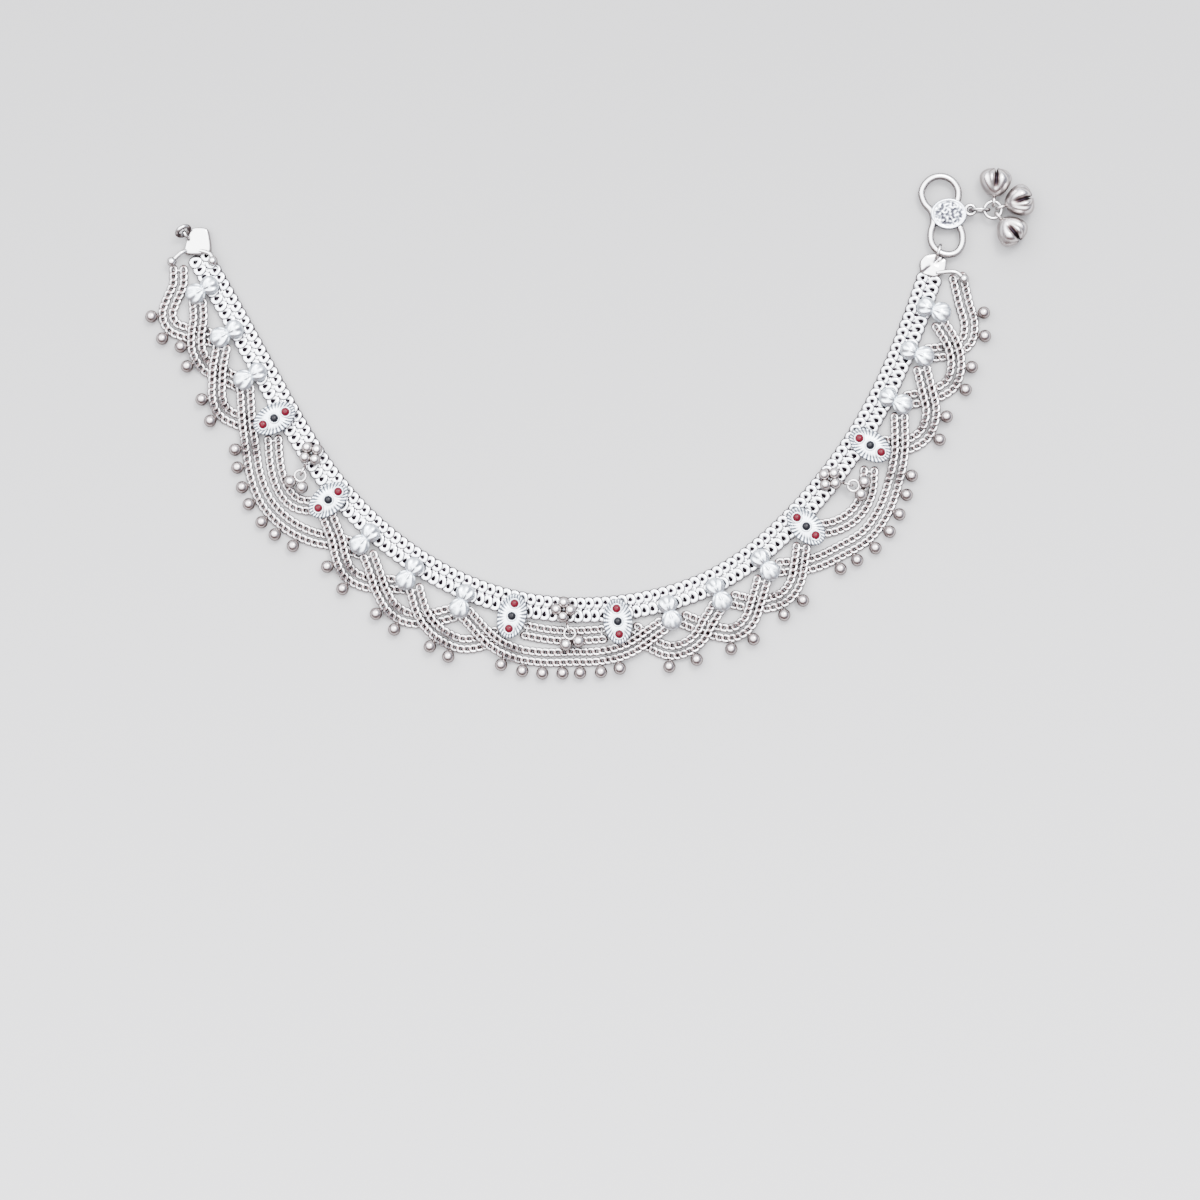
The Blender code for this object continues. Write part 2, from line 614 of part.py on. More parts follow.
def make_oval_plate(line, name, station, material):
    top = ORNAMENT_BOTTOM + PLATE_THICKNESS
    plate = oval_plate_shape(PLATE_HALF_WIDTH, PLATE_HALF_LENGTH, ORNAMENT_BOTTOM, PLATE_THICKNESS,
                             PLATE_SIDES)
    bmesh.ops.translate(plate, verts=plate.verts, vec=(0.0, -PLATE_OUT, 0.0))
    stones = []
    for number in range(STONE_COUNT):
        out = PLATE_OUT + (number - (STONE_COUNT - 1) / 2) * STONE_SPACING
        stones.append(dome(STONE_RADIUS, STONE_RADIUS, top - STONE_SINK, STONE_RIM + STONE_SINK,
                           STONE_HEIGHT + STONE_SINK, STONE_SIDES, out))
    foot = rod((0.0, -PLATE_FOOT_OUT, FOOT_BOTTOM), (0, 0, 1), ORNAMENT_BOTTOM + FOOT_SINK - FOOT_BOTTOM,
               FOOT_RADIUS, FOOT_SIDES)
    body = fuse(name, [plate, join(stones), foot], material)
    place_all(body, line.matrix(station))
    return body


def oval_plate_shape(half_x, half_y, bottom, thickness, sides):
    """Oval plate with a bevelled upper edge."""
    top = bottom + thickness
    inner_x = half_x - PLATE_RIM_INSET
    inner_y = half_y - PLATE_RIM_INSET
    levels = ((half_x, half_y, bottom), (half_x, half_y, top - PLATE_RIM_DROP), (inner_x, inner_y, top))
    rings = []
    for x_size, y_size, level in levels:
        ring = []
        for side in range(sides):
            angle = 2 * math.pi * (side + 0.5) / sides
            ring.append((x_size * math.cos(angle), y_size * math.sin(angle), level))
        rings.append(ring)
    return loft(rings)


def make_flower(line, name, station, turn, material):
    """Four balls that meet, with a stalk to an upright eye."""
    petals = []
    for number in range(PETAL_COUNT):
        angle = 2 * math.pi * number / PETAL_COUNT
        centre = Vector((PETAL_REACH * math.cos(angle), PETAL_REACH * math.sin(angle),
                         FOOT_BOTTOM + PETAL_RADIUS))
        petals.append(ball(centre, PETAL_RADIUS))
    direction = hang_direction(turn)
    level = Vector((0, 0, DROP_LEVEL))
    stalk = rod(level, direction, FLOWER_EYE_OUT - EYE_RADIUS, EYE_WIRE, STALK_SIDES)
    eye = torus(direction * FLOWER_EYE_OUT + level, direction.cross(Vector((0, 0, 1))),
                EYE_RADIUS, EYE_WIRE, EYE_TURNS)
    body = fuse(name, petals + [stalk, eye], material)
    place_all(body, line.matrix(station))
    return body


def hang_direction(turn):
    """Direction outward from the band, turned in plan; local Y points inward."""
    angle = math.radians(-90.0 + turn)
    return Vector((math.cos(angle), math.sin(angle), 0.0))


def make_flower_drop(line, name, station, turn, material):
    """Ring through the flower's eye, with balls soldered to its far side."""
    direction = hang_direction(turn)
    level = Vector((0, 0, DROP_LEVEL))
    centre = direction * (FLOWER_EYE_OUT + DROP_RING_RADIUS) + level
    ring = torus(centre, (0, 0, 1), DROP_RING_RADIUS, EYE_WIRE, RING_TURNS)
    shapes = []
    for number in range(DROP_BALL_COUNT):
        angle = math.radians(DROP_SPREAD) * (number - (DROP_BALL_COUNT - 1) / 2)
        side = Matrix.Rotation(angle, 3, "Z") @ direction
        shapes.append(ball(centre + side * DROP_BALL_REACH, BALL_RADIUS))
    body = fuse(name, [ring, join(shapes)], material)
    place_all(body, line.matrix(station))
    return body


def plate_outline(half, lean):
    """Both sides of a cap's plate, as lengths ahead and outward; the plate leans inward as it goes ahead."""
    upper = [(ahead * CAP_LENGTH, side * CAP_HALF_WIDTH) for ahead, side in half]
    lower = [(ahead, -side) for ahead, side in reversed(upper)]
    return [(ahead, side - lean * ahead) for ahead, side in upper + lower]


def make_end_cap(name, point, ahead, outward, outline, bar_route, ball_ends, eye_axis, eye_level, material):
    """Plate beyond one end of the band, with its eye and its bar."""
    point = Vector((*point, 0.0))
    ahead = Vector((*ahead, 0.0))
    outward = Vector((*outward, 0.0))
    rings = []
    middle = CAP_LENGTH / 2
    lean_middle = sum(side for _, side in outline) / len(outline)
    shoulder = CAP_THICKNESS * CAP_SHOULDER_HEIGHT
    for level, share in ((0.0, 1.0), (shoulder, 1.0), (CAP_THICKNESS, CAP_SHOULDER_WIDTH)):
        rings.append([point + ahead * (GAP + middle + (along - middle) * share)
                      + outward * (lean_middle + (side - lean_middle) * share) + Vector((0, 0, level))
                      for along, side in outline])
    plate = loft(rings)
    eye_centre = point + ahead * CAP_EYE_AHEAD + Vector((0, 0, eye_level))
    eye = torus(eye_centre, eye_axis, CAP_EYE_RADIUS, CAP_EYE_WIRE, RING_TURNS)
    wire = []
    for place in np.linspace(0, 1, BAR_RINGS):
        along, out, rise = smooth_rows(bar_route, place) * BAR_SIZE
        wire.append(point + ahead * along + outward * out + Vector((0, 0, BAR_LEVEL + rise)))
    bar = flat_sweep(wire, BAR_WIRE, BAR_WIRE, BAR_SIDES)
    shapes = [plate, eye, bar]
    for end in ball_ends:
        shapes.append(ball(wire[end], BAR_BALL_RADIUS))
    return fuse(name, shapes, material), eye_centre


def make_start_ring(eye_centre, ahead, material):
    """Leaning ring that passes through the left cap's eye."""
    lean = math.radians(START_RING_LEAN)
    away = Vector((*ahead, 0.0)).normalized()
    across = away.cross(Vector((0, 0, 1)))
    slope = away * math.cos(lean) + Vector((0, 0, 1)) * math.sin(lean)
    centre = eye_centre + slope * START_RING_RADIUS
    ring = torus(centre, slope.cross(across), START_RING_RADIUS, START_RING_WIRE, RING_TURNS)
    return new_object("start_ring", ring, material)


def make_hook(eye_centre, material):
    """S-hook: a lower loop through the right cap's eye, a disc, and an upper ring."""
    low = Vector((*HOOK_ROUTE[HOOK_LOW_POINT], 0.0)) * HOOK_SIZE
    disc_centre = Vector((eye_centre[0], eye_centre[1], HOOK_LEVEL)) - low
    wire = []
    for place in np.linspace(0, 1, HOOK_RINGS):
        wire.append(disc_centre + Vector((*smooth_rows(HOOK_ROUTE, place), 0.0)) * HOOK_SIZE)
    body = flat_sweep(wire, HOOK_WIRE, HOOK_WIRE, HOOK_SIDES)
    disc = oval_plate_shape(DISC_HALF_LENGTH, DISC_HALF_WIDTH, HOOK_LEVEL, DISC_THICKNESS, DISC_SIDES)
    bmesh.ops.translate(disc, verts=disc.verts, vec=(disc_centre[0], disc_centre[1], 0.0))
    eye = disc_centre + Vector((DISC_HALF_LENGTH + LUG_RADIUS - LUG_SINK, LUG_SIDE, LUG_WIRE))
    lug = torus(eye, (0, 0, 1), LUG_RADIUS, LUG_WIRE, EYE_TURNS)
    return fuse("s_hook", [body, disc, lug], material), eye


def make_bell(name, ring_centre, degrees, material):
    """Hollow bell with an eye at its crown, standing out from the bell ring."""
    angle = math.radians(degrees)
    outward = Vector((math.cos(angle), math.sin(angle), 0.0))
    crown = ring_centre + outward * (BELL_RING_RADIUS + BELL_EYE_RADIUS)
    rise = BELL_RADIUS + BELL_GROUND_CLEARANCE - crown[2]
    tilt = math.asin(rise / (BELL_LENGTH * BELL_BELLY))
    direction = outward * math.cos(tilt) + Vector((0, 0, math.sin(tilt)))
    profile = [(0.0, 0.0)]
    profile += [(along * BELL_LENGTH, radius * BELL_RADIUS) for along, radius in BELL_OUTSIDE]
    profile += [(along * BELL_LENGTH, radius * BELL_RADIUS) for along, radius in BELL_INSIDE]
    start = crown + direction * (BELL_EYE_WIRE - BELL_EYE_SINK)
    body = turned(profile, start, direction, BELL_SIDES)
    eye = torus(ring_centre + outward * BELL_RING_RADIUS, outward.cross(Vector((0, 0, 1))),
                BELL_EYE_RADIUS, BELL_EYE_WIRE, EYE_TURNS)
    across = direction.cross(Vector((0, 0, 1))).normalized()
    upward = across.cross(direction).normalized()
    slit = bmesh.new()
    bmesh.ops.create_cube(slit, size=1.0)
    frame = Matrix((across, upward, direction)).transposed().to_4x4()
    size = Matrix.Diagonal((BELL_SLIT, BELL_SLIT_HEIGHT * BELL_RADIUS, 2 * BELL_SLIT_DEPTH, 1.0))
    move = Matrix.Translation(start + direction * BELL_LENGTH)
    bmesh.ops.transform(slit, matrix=move @ frame @ size, verts=slit.verts)
    return fuse(name, [body, eye], material, cuts=[slit])


def build():
    for obj in list(bpy.data.objects):
        bpy.data.objects.remove(obj, do_unlink=True)
    line = BandLine()
    silver = new_material("silver", SILVER, 0.32)
    polished = new_material("silver_polished", SILVER_POLISHED, 0.16)
    make_band(line, silver)
    for name, start_level, end_level, route in SWAGS:
        make_swag(line, name, start_level, end_level, route, silver)
    counts = {"leaf": 0, "oval": 0, "flower": 0}
    for station, kind in zip(STATION_PLACES, STATION_KINDS.split()):
        counts[kind] += 1
        number = counts[kind]
        if kind == "leaf":
            make_leaf(line, f"leaf_{number:02d}", station, silver)
        elif kind == "oval":
            make_oval_plate(line, f"oval_plate_{number}", station, silver)
        else:
            turn = DROP_TURNS[number - 1]
            make_flower(line, f"flower_{number}", station, turn, silver)
            make_flower_drop(line, f"flower_drop_{number}", station, turn, silver)

    point, ahead, outward = line.frame(0.0)
    left_plate = plate_outline(LEFT_OUTLINE, LEFT_LEAN)
    _, left_eye = make_end_cap("left_end_cap", point, -ahead, outward, left_plate, LEFT_BAR, (0, -1),
                               Vector((*outward, 0.0)), CAP_EYE_RADIUS + CAP_EYE_WIRE, polished)
    make_start_ring(left_eye, -ahead, polished)
    point, ahead, outward = line.frame(1.0)
    right_plate = plate_outline(RIGHT_OUTLINE, RIGHT_LEAN)
    _, right_eye = make_end_cap("right_end_cap", point, ahead, outward, right_plate, RIGHT_BAR, (-1,),
                                Vector((*outward, 0.0)), HOOK_LEVEL, polished)
    _, disc_eye = make_hook(right_eye, polished)
    jump_centre = disc_eye + Vector((JUMP_RING_RADIUS, 0.0, 0.0))
    jump_ring = torus(jump_centre, (0, 1, 0), JUMP_RING_RADIUS, RING_WIRE, RING_TURNS)
    new_object("jump_ring", jump_ring, polished)
    slack = 2 * RING_WIRE + GAP
    ring_centre = disc_eye + Vector((2 * JUMP_RING_RADIUS - slack + BELL_RING_RADIUS, 0.0, 0.0))
    bell_ring = torus(ring_centre, (0, 0, 1), BELL_RING_RADIUS, RING_WIRE, BELL_RING_TURNS)
    new_object("bell_ring", bell_ring, polished)
    for number, degrees in enumerate(BELL_DIRECTIONS, start=1):
        make_bell(f"bell_{number}", ring_centre, degrees, silver)


build()
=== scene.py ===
# %% [markdown]
# # A silver payal, piece by piece
# A payal is an anklet: a woven silver band, hung with chain swags, small cast ornaments and a cluster
# of bells. This lesson dresses a plain solid model of one. Each cell makes one kind of piece in the
# place of its solids, and the last cell compares their sizes. Lengths are in metres, X runs along the
# band at its middle, Y points into the arc that it lies in, and Z is up.

# %% Load the solid model
import math

import bmesh
import bpy
import numpy as np
from mathutils import Matrix, Vector, noise


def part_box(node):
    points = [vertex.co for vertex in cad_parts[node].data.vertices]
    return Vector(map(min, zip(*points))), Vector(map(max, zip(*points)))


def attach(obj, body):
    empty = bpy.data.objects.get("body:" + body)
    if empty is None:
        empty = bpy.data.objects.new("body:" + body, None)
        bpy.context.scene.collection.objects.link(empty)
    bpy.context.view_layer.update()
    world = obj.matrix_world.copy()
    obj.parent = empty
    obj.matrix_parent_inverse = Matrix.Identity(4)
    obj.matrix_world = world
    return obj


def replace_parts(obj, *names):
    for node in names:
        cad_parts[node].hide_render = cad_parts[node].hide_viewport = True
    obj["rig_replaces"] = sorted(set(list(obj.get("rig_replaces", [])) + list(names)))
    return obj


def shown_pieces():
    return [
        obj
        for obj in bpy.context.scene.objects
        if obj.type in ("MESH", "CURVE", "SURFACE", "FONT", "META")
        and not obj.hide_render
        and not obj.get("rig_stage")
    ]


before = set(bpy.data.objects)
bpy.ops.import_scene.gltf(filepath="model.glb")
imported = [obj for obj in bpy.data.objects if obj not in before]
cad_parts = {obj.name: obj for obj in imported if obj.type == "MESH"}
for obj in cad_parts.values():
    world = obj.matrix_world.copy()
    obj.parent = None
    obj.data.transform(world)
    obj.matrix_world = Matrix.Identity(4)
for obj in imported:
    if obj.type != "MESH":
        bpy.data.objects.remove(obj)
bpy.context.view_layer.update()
MM = 0.001
UP = Vector((0, 0, 1))

# %% [markdown]
# ## Camera, ground and light
# The anklet was photographed lying flat, from straight above, so a long lens high over it gives the
# same view. Whitened silver shows little but what it mirrors. One big bright sky overhead, leaning to
# the upper left, makes it white, and a darker, warmer band low in the sky gives every ball and bell
# its rosy lower rim. Lamps alone would leave bright spots on black metal. The paper grows brighter
# toward the bottom of the picture, as in the photo.


# %% Camera straight above
def new_object(name, data):
    """Object in the scene that holds the data."""
    obj = bpy.data.objects.new(name, data)
    bpy.context.scene.collection.objects.link(obj)
    return obj


CAMERA_HEIGHT = 900 * MM
FIELD = 270 * MM
# Middle of the picture, at the level where the field is measured
AIM = (7.9 * MM, 2.2 * MM, 2 * MM)
camera_data = bpy.data.cameras.new("camera")
camera_data.sensor_width = 36.0
camera_data.lens = camera_data.sensor_width * CAMERA_HEIGHT / FIELD
camera_data.clip_end = 10.0
camera = new_object("camera", camera_data)
camera.location = (AIM[0], AIM[1], CAMERA_HEIGHT + AIM[2])
bpy.context.scene.camera = camera
print("lens", round(camera_data.lens), "mm, field", FIELD / MM, "mm")


# %% Helpers for node trees
def feed(tree, node, inputs):
    """Feeds a node's inputs with values or with other nodes' outputs."""
    for key, value in inputs.items():
        if isinstance(value, bpy.types.NodeSocket):
            tree.links.new(value, node.inputs[key])
        else:
            node.inputs[key].default_value = value


def add_node(tree, kind, inputs=None, **settings):
    """Adds a node, sets its options, feeds its inputs, and gives its outputs."""
    node = tree.nodes.new(kind)
    for key, value in settings.items():
        setattr(node, key, value)
    feed(tree, node, inputs or {})
    return node.outputs


def calc(tree, operation, first, second=0.0, third=0.0):
    """One Math node; works in shader and geometry trees alike."""
    return add_node(tree, "ShaderNodeMath", {0: first, 1: second, 2: third}, operation=operation)[0]


def fade(tree, value, low, high, most=1.0, **settings):
    """Runs from 0 at the value low to most at the value high, and is held beyond them."""
    return add_node(tree, "ShaderNodeMapRange", {0: value, 1: low, 2: high, 3: 0.0, 4: most}, **settings)[0]


def mix(tree, share, first, second):
    """Colour between two others."""
    return add_node(tree, "ShaderNodeMix", {0: share, 6: first, 7: second}, data_type="RGBA")[2]


def new_material(name):
    """Material with its node tree and its surface node."""
    material = bpy.data.materials.new(name)
    material.use_nodes = True
    return material, material.node_tree, material.node_tree.nodes["Principled BSDF"]


# %% Ground
FAR_PAPER = (0.37, 0.366, 0.366, 1)
NEAR_PAPER = (0.58, 0.575, 0.575, 1)
PAPER_REACH = 140 * MM
bpy.ops.mesh.primitive_plane_add(size=3.0, location=(0.0, 0.0, 0.0))
ground = bpy.context.object
ground.name = "ground"
paper, tree, surface = new_material("ground_paper")
spot = add_node(tree, "ShaderNodeTexCoord")["Object"]
spot = add_node(tree, "ShaderNodeSeparateXYZ", {0: spot})
tone = mix(tree, fade(tree, spot["Y"], PAPER_REACH, -PAPER_REACH), FAR_PAPER, NEAR_PAPER)
feed(tree, surface, {"Base Color": tone, "Roughness": 0.9})
ground.data.materials.append(paper)
ground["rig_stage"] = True

# %% Sky
COOL_LOW_SKY = (0.44, 0.50, 0.64, 1)
WARM_LOW_SKY = (0.20, 0.11, 0.10, 1)
HIGH_SKY = (8.4, 8.5, 8.8, 1)
# Which way the low sky warms, and where the high sky begins and is full
WARM_SIDE = (-0.18, -0.45, 0.0)
HIGH_SIDE = (-0.14, 0.32, 0.94)
HIGH_START, HIGH_FULL = 0.45, 0.96
world = bpy.data.worlds.new("studio")
world.use_nodes = True
bpy.context.scene.world = world
sky = world.node_tree
direction = add_node(sky, "ShaderNodeTexCoord")["Generated"]


def toward(side):
    """How far the direction points to one side."""
    return add_node(sky, "ShaderNodeVectorMath", {0: direction, 1: side}, operation="DOT_PRODUCT")["Value"]


low_sky = mix(sky, calc(sky, "ADD", toward(WARM_SIDE), 0.5), COOL_LOW_SKY, WARM_LOW_SKY)
height = fade(sky, toward(HIGH_SIDE), HIGH_START, HIGH_FULL, interpolation_type="SMOOTHSTEP")
feed(sky, sky.nodes["Background"], {"Color": mix(sky, height, low_sky, HIGH_SKY), "Strength": 1.0})


# %% Soft lamps
def softbox(name, place, size, power):
    """Square area lamp at a place, turned to the origin."""
    data = bpy.data.lights.new(name, "AREA")
    data.size = size
    data.energy = power
    lamp = new_object(name, data)
    lamp.location = place
    lamp.rotation_euler = (-Vector(place)).to_track_quat("-Z", "Y").to_euler()


softbox("key", (0.25, 0.55, 0.95), 0.30, 12.0)
softbox("fill", (-0.7, 0.5, 0.8), 0.6, 3.0)

# %% [markdown]
# ## Silver, in seven finishes
# The anklet is whitened silver: boiled in acid until its skin is pure and pale. Its colour carries
# painted shade: tops that face the sky stay bright, sides, undersides and lower rims get a painted rosy
# shade and reflection tone, and the gaps are painted plum-dark, partly as tarnish and partly as painted
# shade. Each mesh carries a number, "shade_and_tarnish", from 0 on a bright top to 1 in a gap. One shader
# group turns it into colour and roughness, so every piece is shaded and tarnished alike. Painting by hand
# would never match over thousands of links, and reading the curvature alone would miss the undersides of balls.


# %% The shade and tarnish group
def new_group(name, kind, inputs, outputs):
    """Node group with named sockets: the group, its inputs' sockets, and the node of its outputs."""
    tree = bpy.data.node_groups.new(name, kind)
    for way, sockets in (("INPUT", inputs), ("OUTPUT", outputs)):
        for socket, content in sockets:
            tree.interface.new_socket(socket, in_out=way, socket_type="NodeSocket" + content)
    return tree, tree.nodes.new("NodeGroupInput").outputs, tree.nodes.new("NodeGroupOutput")


# Painted shade and tarnish: the plum-dark colour that fills the gaps
GAP_SHADE_AND_TARNISH = (0.022, 0.016, 0.022, 1)
CLOUD_SCALE = 900.0
# Where on the way from a bright top to a gap the painted shade tone and the gap's painted dark colour begin and are
# full
SHADE_TONE_START, SHADE_TONE_FULL = 0.22, 0.62
GAP_START, GAP_FULL = 0.60, 0.95
SHADE_AND_TARNISH, given, end = new_group(
    "silver_shade_and_tarnish", "ShaderNodeTree",
    [("ShadeAndTarnish", "Float"), ("Bright", "Color"), ("ShadeTone", "Color"), ("Shine", "Float"), ("Blotches", "Float")],
    [("Colour", "Color"), ("Roughness", "Float")])
place = add_node(SHADE_AND_TARNISH, "ShaderNodeTexCoord")["Object"]
cloud = add_node(SHADE_AND_TARNISH, "ShaderNodeTexNoise", {"Vector": place, "Scale": CLOUD_SCALE, "Detail": 3.0})[0]
swing = calc(SHADE_AND_TARNISH, "MULTIPLY", calc(SHADE_AND_TARNISH, "SUBTRACT", cloud, 0.5), given["Blotches"])
depth = calc(SHADE_AND_TARNISH, "ADD", given["ShadeAndTarnish"], swing)
# Painted shade: bright tops pass to the shade tone on sides and rims, then to the dark of the gaps
bright_to_shade = mix(SHADE_AND_TARNISH, fade(SHADE_AND_TARNISH, depth, SHADE_TONE_START, SHADE_TONE_FULL), given["Bright"], given["ShadeTone"])
feed(SHADE_AND_TARNISH, end, {"Colour": mix(SHADE_AND_TARNISH, fade(SHADE_AND_TARNISH, depth, GAP_START, GAP_FULL), bright_to_shade, GAP_SHADE_AND_TARNISH),
                    "Roughness": calc(SHADE_AND_TARNISH, "MULTIPLY_ADD", depth, 0.3, given["Shine"])})
print("group", SHADE_AND_TARNISH.name, [item.name for item in SHADE_AND_TARNISH.interface.items_tree])


# %% Silver finishes
def silver(name, bright, shade_tone, shine, blotches, grain_scale, grain_depth):
    """Silver with painted shade and tarnish from the mesh's shade_and_tarnish value, and a fine grain in its
    surface.
    """
    material, tree, surface = new_material(name)
    shade_and_tarnish = add_node(tree, "ShaderNodeAttribute", attribute_name="shade_and_tarnish")["Fac"]
    skin = add_node(tree, "ShaderNodeGroup",
                    {"ShadeAndTarnish": shade_and_tarnish, "Bright": (*bright, 1.0), "ShadeTone": (*shade_tone, 1.0), "Shine": shine,
                     "Blotches": blotches}, node_tree=SHADE_AND_TARNISH)
    place = add_node(tree, "ShaderNodeTexCoord")["Object"]
    grain = add_node(tree, "ShaderNodeTexNoise", {"Vector": place, "Scale": grain_scale, "Detail": 4.0})[0]
    bump = add_node(tree, "ShaderNodeBump",
                    {"Height": grain, "Strength": 0.5, "Distance": grain_depth * MM})[0]
    feed(tree, surface, {"Metallic": 1.0, "Base Color": skin["Colour"], "Roughness": skin["Roughness"],
                         "Normal": bump})
    return material


# Name: bright colour of the tops, colour of the painted shade on sides and rims, roughness of the tops, blotches,
# scale of the grain and its depth in mm
FINISHES = {
    "band": ((0.93, 0.95, 0.98), (0.27, 0.23, 0.24), 0.26, 0.10, 2500.0, 0.02),
    "chains": ((0.86, 0.84, 0.84), (0.20, 0.14, 0.135), 0.22, 0.10, 2500.0, 0.02),
    "cast": ((0.86, 0.92, 0.98), (0.11, 0.125, 0.15), 0.30, 0.04, 1800.0, 0.04),
    "balls": ((0.62, 0.56, 0.55), (0.085, 0.052, 0.048), 0.20, 0.06, 1500.0, 0.02),
    "bells": ((0.84, 0.80, 0.79), (0.12, 0.082, 0.078), 0.22, 0.06, 1500.0, 0.02),
    "plain": ((0.90, 0.89, 0.88), (0.12, 0.088, 0.083), 0.18, 0.05, 700.0, 0.02),
    "disc": ((0.80, 0.84, 0.90), (0.13, 0.14, 0.17), 0.26, 0.10, 1800.0, 0.03),
}
SILVER = {name: silver("silver_" + name, *values) for name, values in FINISHES.items()}


# %% Stones
def stone(name, colour):
    """Domed glass stone over foil: deep colour with a bright skin."""
    material, tree, surface = new_material(name)
    place = add_node(tree, "ShaderNodeTexCoord")["Object"]
    cloud = add_node(tree, "ShaderNodeTexNoise", {"Vector": place, "Scale": 1400.0, "Detail": 2.0})[0]
    shade = mix(tree, cloud, (*[c * 0.5 for c in colour], 1), (*[c * 1.5 for c in colour], 1))
    feed(tree, surface, {"Base Color": shade, "Roughness": 0.12, "Specular IOR Level": 0.15,
                         "Coat Weight": 0.05})
    return material


RED_STONE = stone("stone_red", (0.085, 0.003, 0.010))
BLACK_STONE = stone("stone_black", (0.008, 0.008, 0.011))
print("finishes:", [m.name for m in bpy.data.materials if m.name.startswith(("silver_", "stone_"))])

# %% [markdown]
# ## Gathering a mesh
# Most pieces are grids of points: rows across, columns round. A small class gathers such grids with
# their values of painted shade and tarnish and their finishes, and makes one clean mesh at the end. It
# knows balls, rings and wires, and for every other shape it takes a function that gives one spot from
# its row and its column. Blender's own primitives would need joining and placing one by one, and would
# lose the painted shade and tarnish.


# %% A gatherer of grids
# Painted shade on the sides: the colour darkens where the surface turns from the sky, between these slopes
UNSHADED_SLOPE = 0.90
SHADED_SLOPE = 0.40


def circle(count):
    """Evenly spaced angles round one turn."""
    return np.linspace(0, 2 * math.pi, count, endpoint=False)


class Casting:
    """Grids of points with values of painted shade and tarnish, gathered into the mesh of one piece."""

    def __init__(self, side_shade=0.68):
        self.side_shade = side_shade
        self.points = []
        self.shade_and_tarnish = []
        self.faces = []
        self.finishes = []

    def grid(self, rows, shade_and_tarnish, ring=False, finish=0):
        """Faces between closed rows of points, joined into a ring or capped."""
        rows = np.asarray(rows, float)
        count, sides = rows.shape[:2]
        base = len(self.points)
        self.points.extend(rows.reshape(-1, 3).tolist())
        self.shade_and_tarnish.extend(np.broadcast_to(shade_and_tarnish, (count, sides)).ravel().tolist())
        faces = []
        for row in range(count if ring else count - 1):
            this, following = base + row * sides, base + (row + 1) % count * sides
            for side in range(sides):
                beside = (side + 1) % sides
                faces.append((this + side, this + beside, following + beside, following + side))
        capped_rows = () if ring else (0, count - 1)
        for row in capped_rows:
            first = base + row * sides
            self.points.append(rows[row].mean(axis=0).tolist())
            self.shade_and_tarnish.append(float(np.mean(self.shade_and_tarnish[first:first + sides])))
            for side in range(sides):
                faces.append((first + side, first + (side + 1) % sides, len(self.points) - 1))
        self.faces += faces
        self.finishes += [finish] * len(faces)

    def shape(self, rows, columns, spot, darkest_share=1.0, **kept):
        """Grid worked out spot by spot: spot(row, column) gives a place and its painted shade and tarnish."""
        spots = [[spot(row, column) for column in columns] for row in rows]
        shade_and_tarnish = np.clip([[shade_tarnish_value for _, shade_tarnish_value in row] for row in spots], 0, darkest_share)
        self.grid([[place for place, _ in row] for row in spots], shade_and_tarnish, **kept)

    def ball(self, centre, radius, finish=0):
        """Ball from just above its lowest point; its lower half is painted darker, as shade and reflection."""
        centre = np.asarray(centre, float)

        def spot(angle, turn):
            across = math.sin(angle)
            offset = np.array((across * math.cos(turn), across * math.sin(turn), -math.cos(angle)))
            # Painted shade and reflection: the lower half is darker and rosier
            return centre + offset * radius, 0.50 - 0.62 * offset[2]

        self.shape(np.linspace(0.12, math.pi - 0.12, 11), circle(20), spot, 0.72, finish=finish)

    def ring(self, centre, axis, radius, wire, turns=32, sides=12):
        """Ring of wire, painted darker inside and underneath, as shade."""
        axis = Vector(axis).normalized()
        first = axis.orthogonal().normalized()
        second = axis.cross(first)

        def spot(turn, lean):
            outward = first * math.cos(turn) + second * math.sin(turn)
            offset = outward * math.cos(lean) + axis * math.sin(lean)
            place = Vector(centre) + outward * radius + offset * wire
            return place, 0.35 - 0.35 * offset.z - 0.12 * math.cos(lean)

        self.shape(circle(turns), circle(sides), spot, 0.75, ring=True)

    def wire(self, path, wire, sides=12, finish=0):
        """Nearly level wire along a path; its radius may vary from point to point."""
        path = np.asarray(path, float)
        rows = []
        for point, ahead, radius in zip(path, np.gradient(path, axis=0), np.broadcast_to(wire, len(path))):
            ahead = Vector(ahead).normalized()
            across = ahead.cross(UP).normalized()
            rows.append((Vector(point), across, across.cross(ahead), radius))

        def spot(row, turn):
            point, across, upward, radius = row
            offset = across * math.cos(turn) + upward * math.sin(turn)
            # Painted shade: the underside of the wire is darker
            return point + offset * radius, 0.30 - 0.35 * offset.z

        self.shape(rows, circle(sides), spot, 0.75, finish=finish)

    def piece(self, name, node, materials, place=None, slot="silver"):
        """Mesh object at the origin that rides on the one body in place of a solid."""
        mesh = bpy.data.meshes.new(name)
        mesh.from_pydata(self.points, [], self.faces)
        mesh.polygons.foreach_set("material_index", self.finishes)
        mesh.transform(place or Matrix())
        builder = bmesh.new()
        builder.from_mesh(mesh)
        bmesh.ops.recalc_face_normals(builder, faces=builder.faces)
        builder.to_mesh(mesh)
        builder.free()
        mesh.shade_smooth()
        # Painted shade: sides turned from the sky are darkened, over each spot's own shade and tarnish
        normals = np.array([normal.vector for normal in mesh.vertex_normals])
        turned = np.clip((UNSHADED_SLOPE - normals[:, 2]) / (UNSHADED_SLOPE - SHADED_SLOPE), 0, 1)
        shade_tarnish_value = np.maximum(self.shade_and_tarnish, self.side_shade * turned)
        mesh.attributes.new("shade_and_tarnish", "FLOAT", "POINT").data.foreach_set("value", shade_tarnish_value)
        for material in materials:
            mesh.materials.append(material)
        obj = new_object(name, mesh)
        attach(obj, "root")
        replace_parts(obj, node)
        return obj


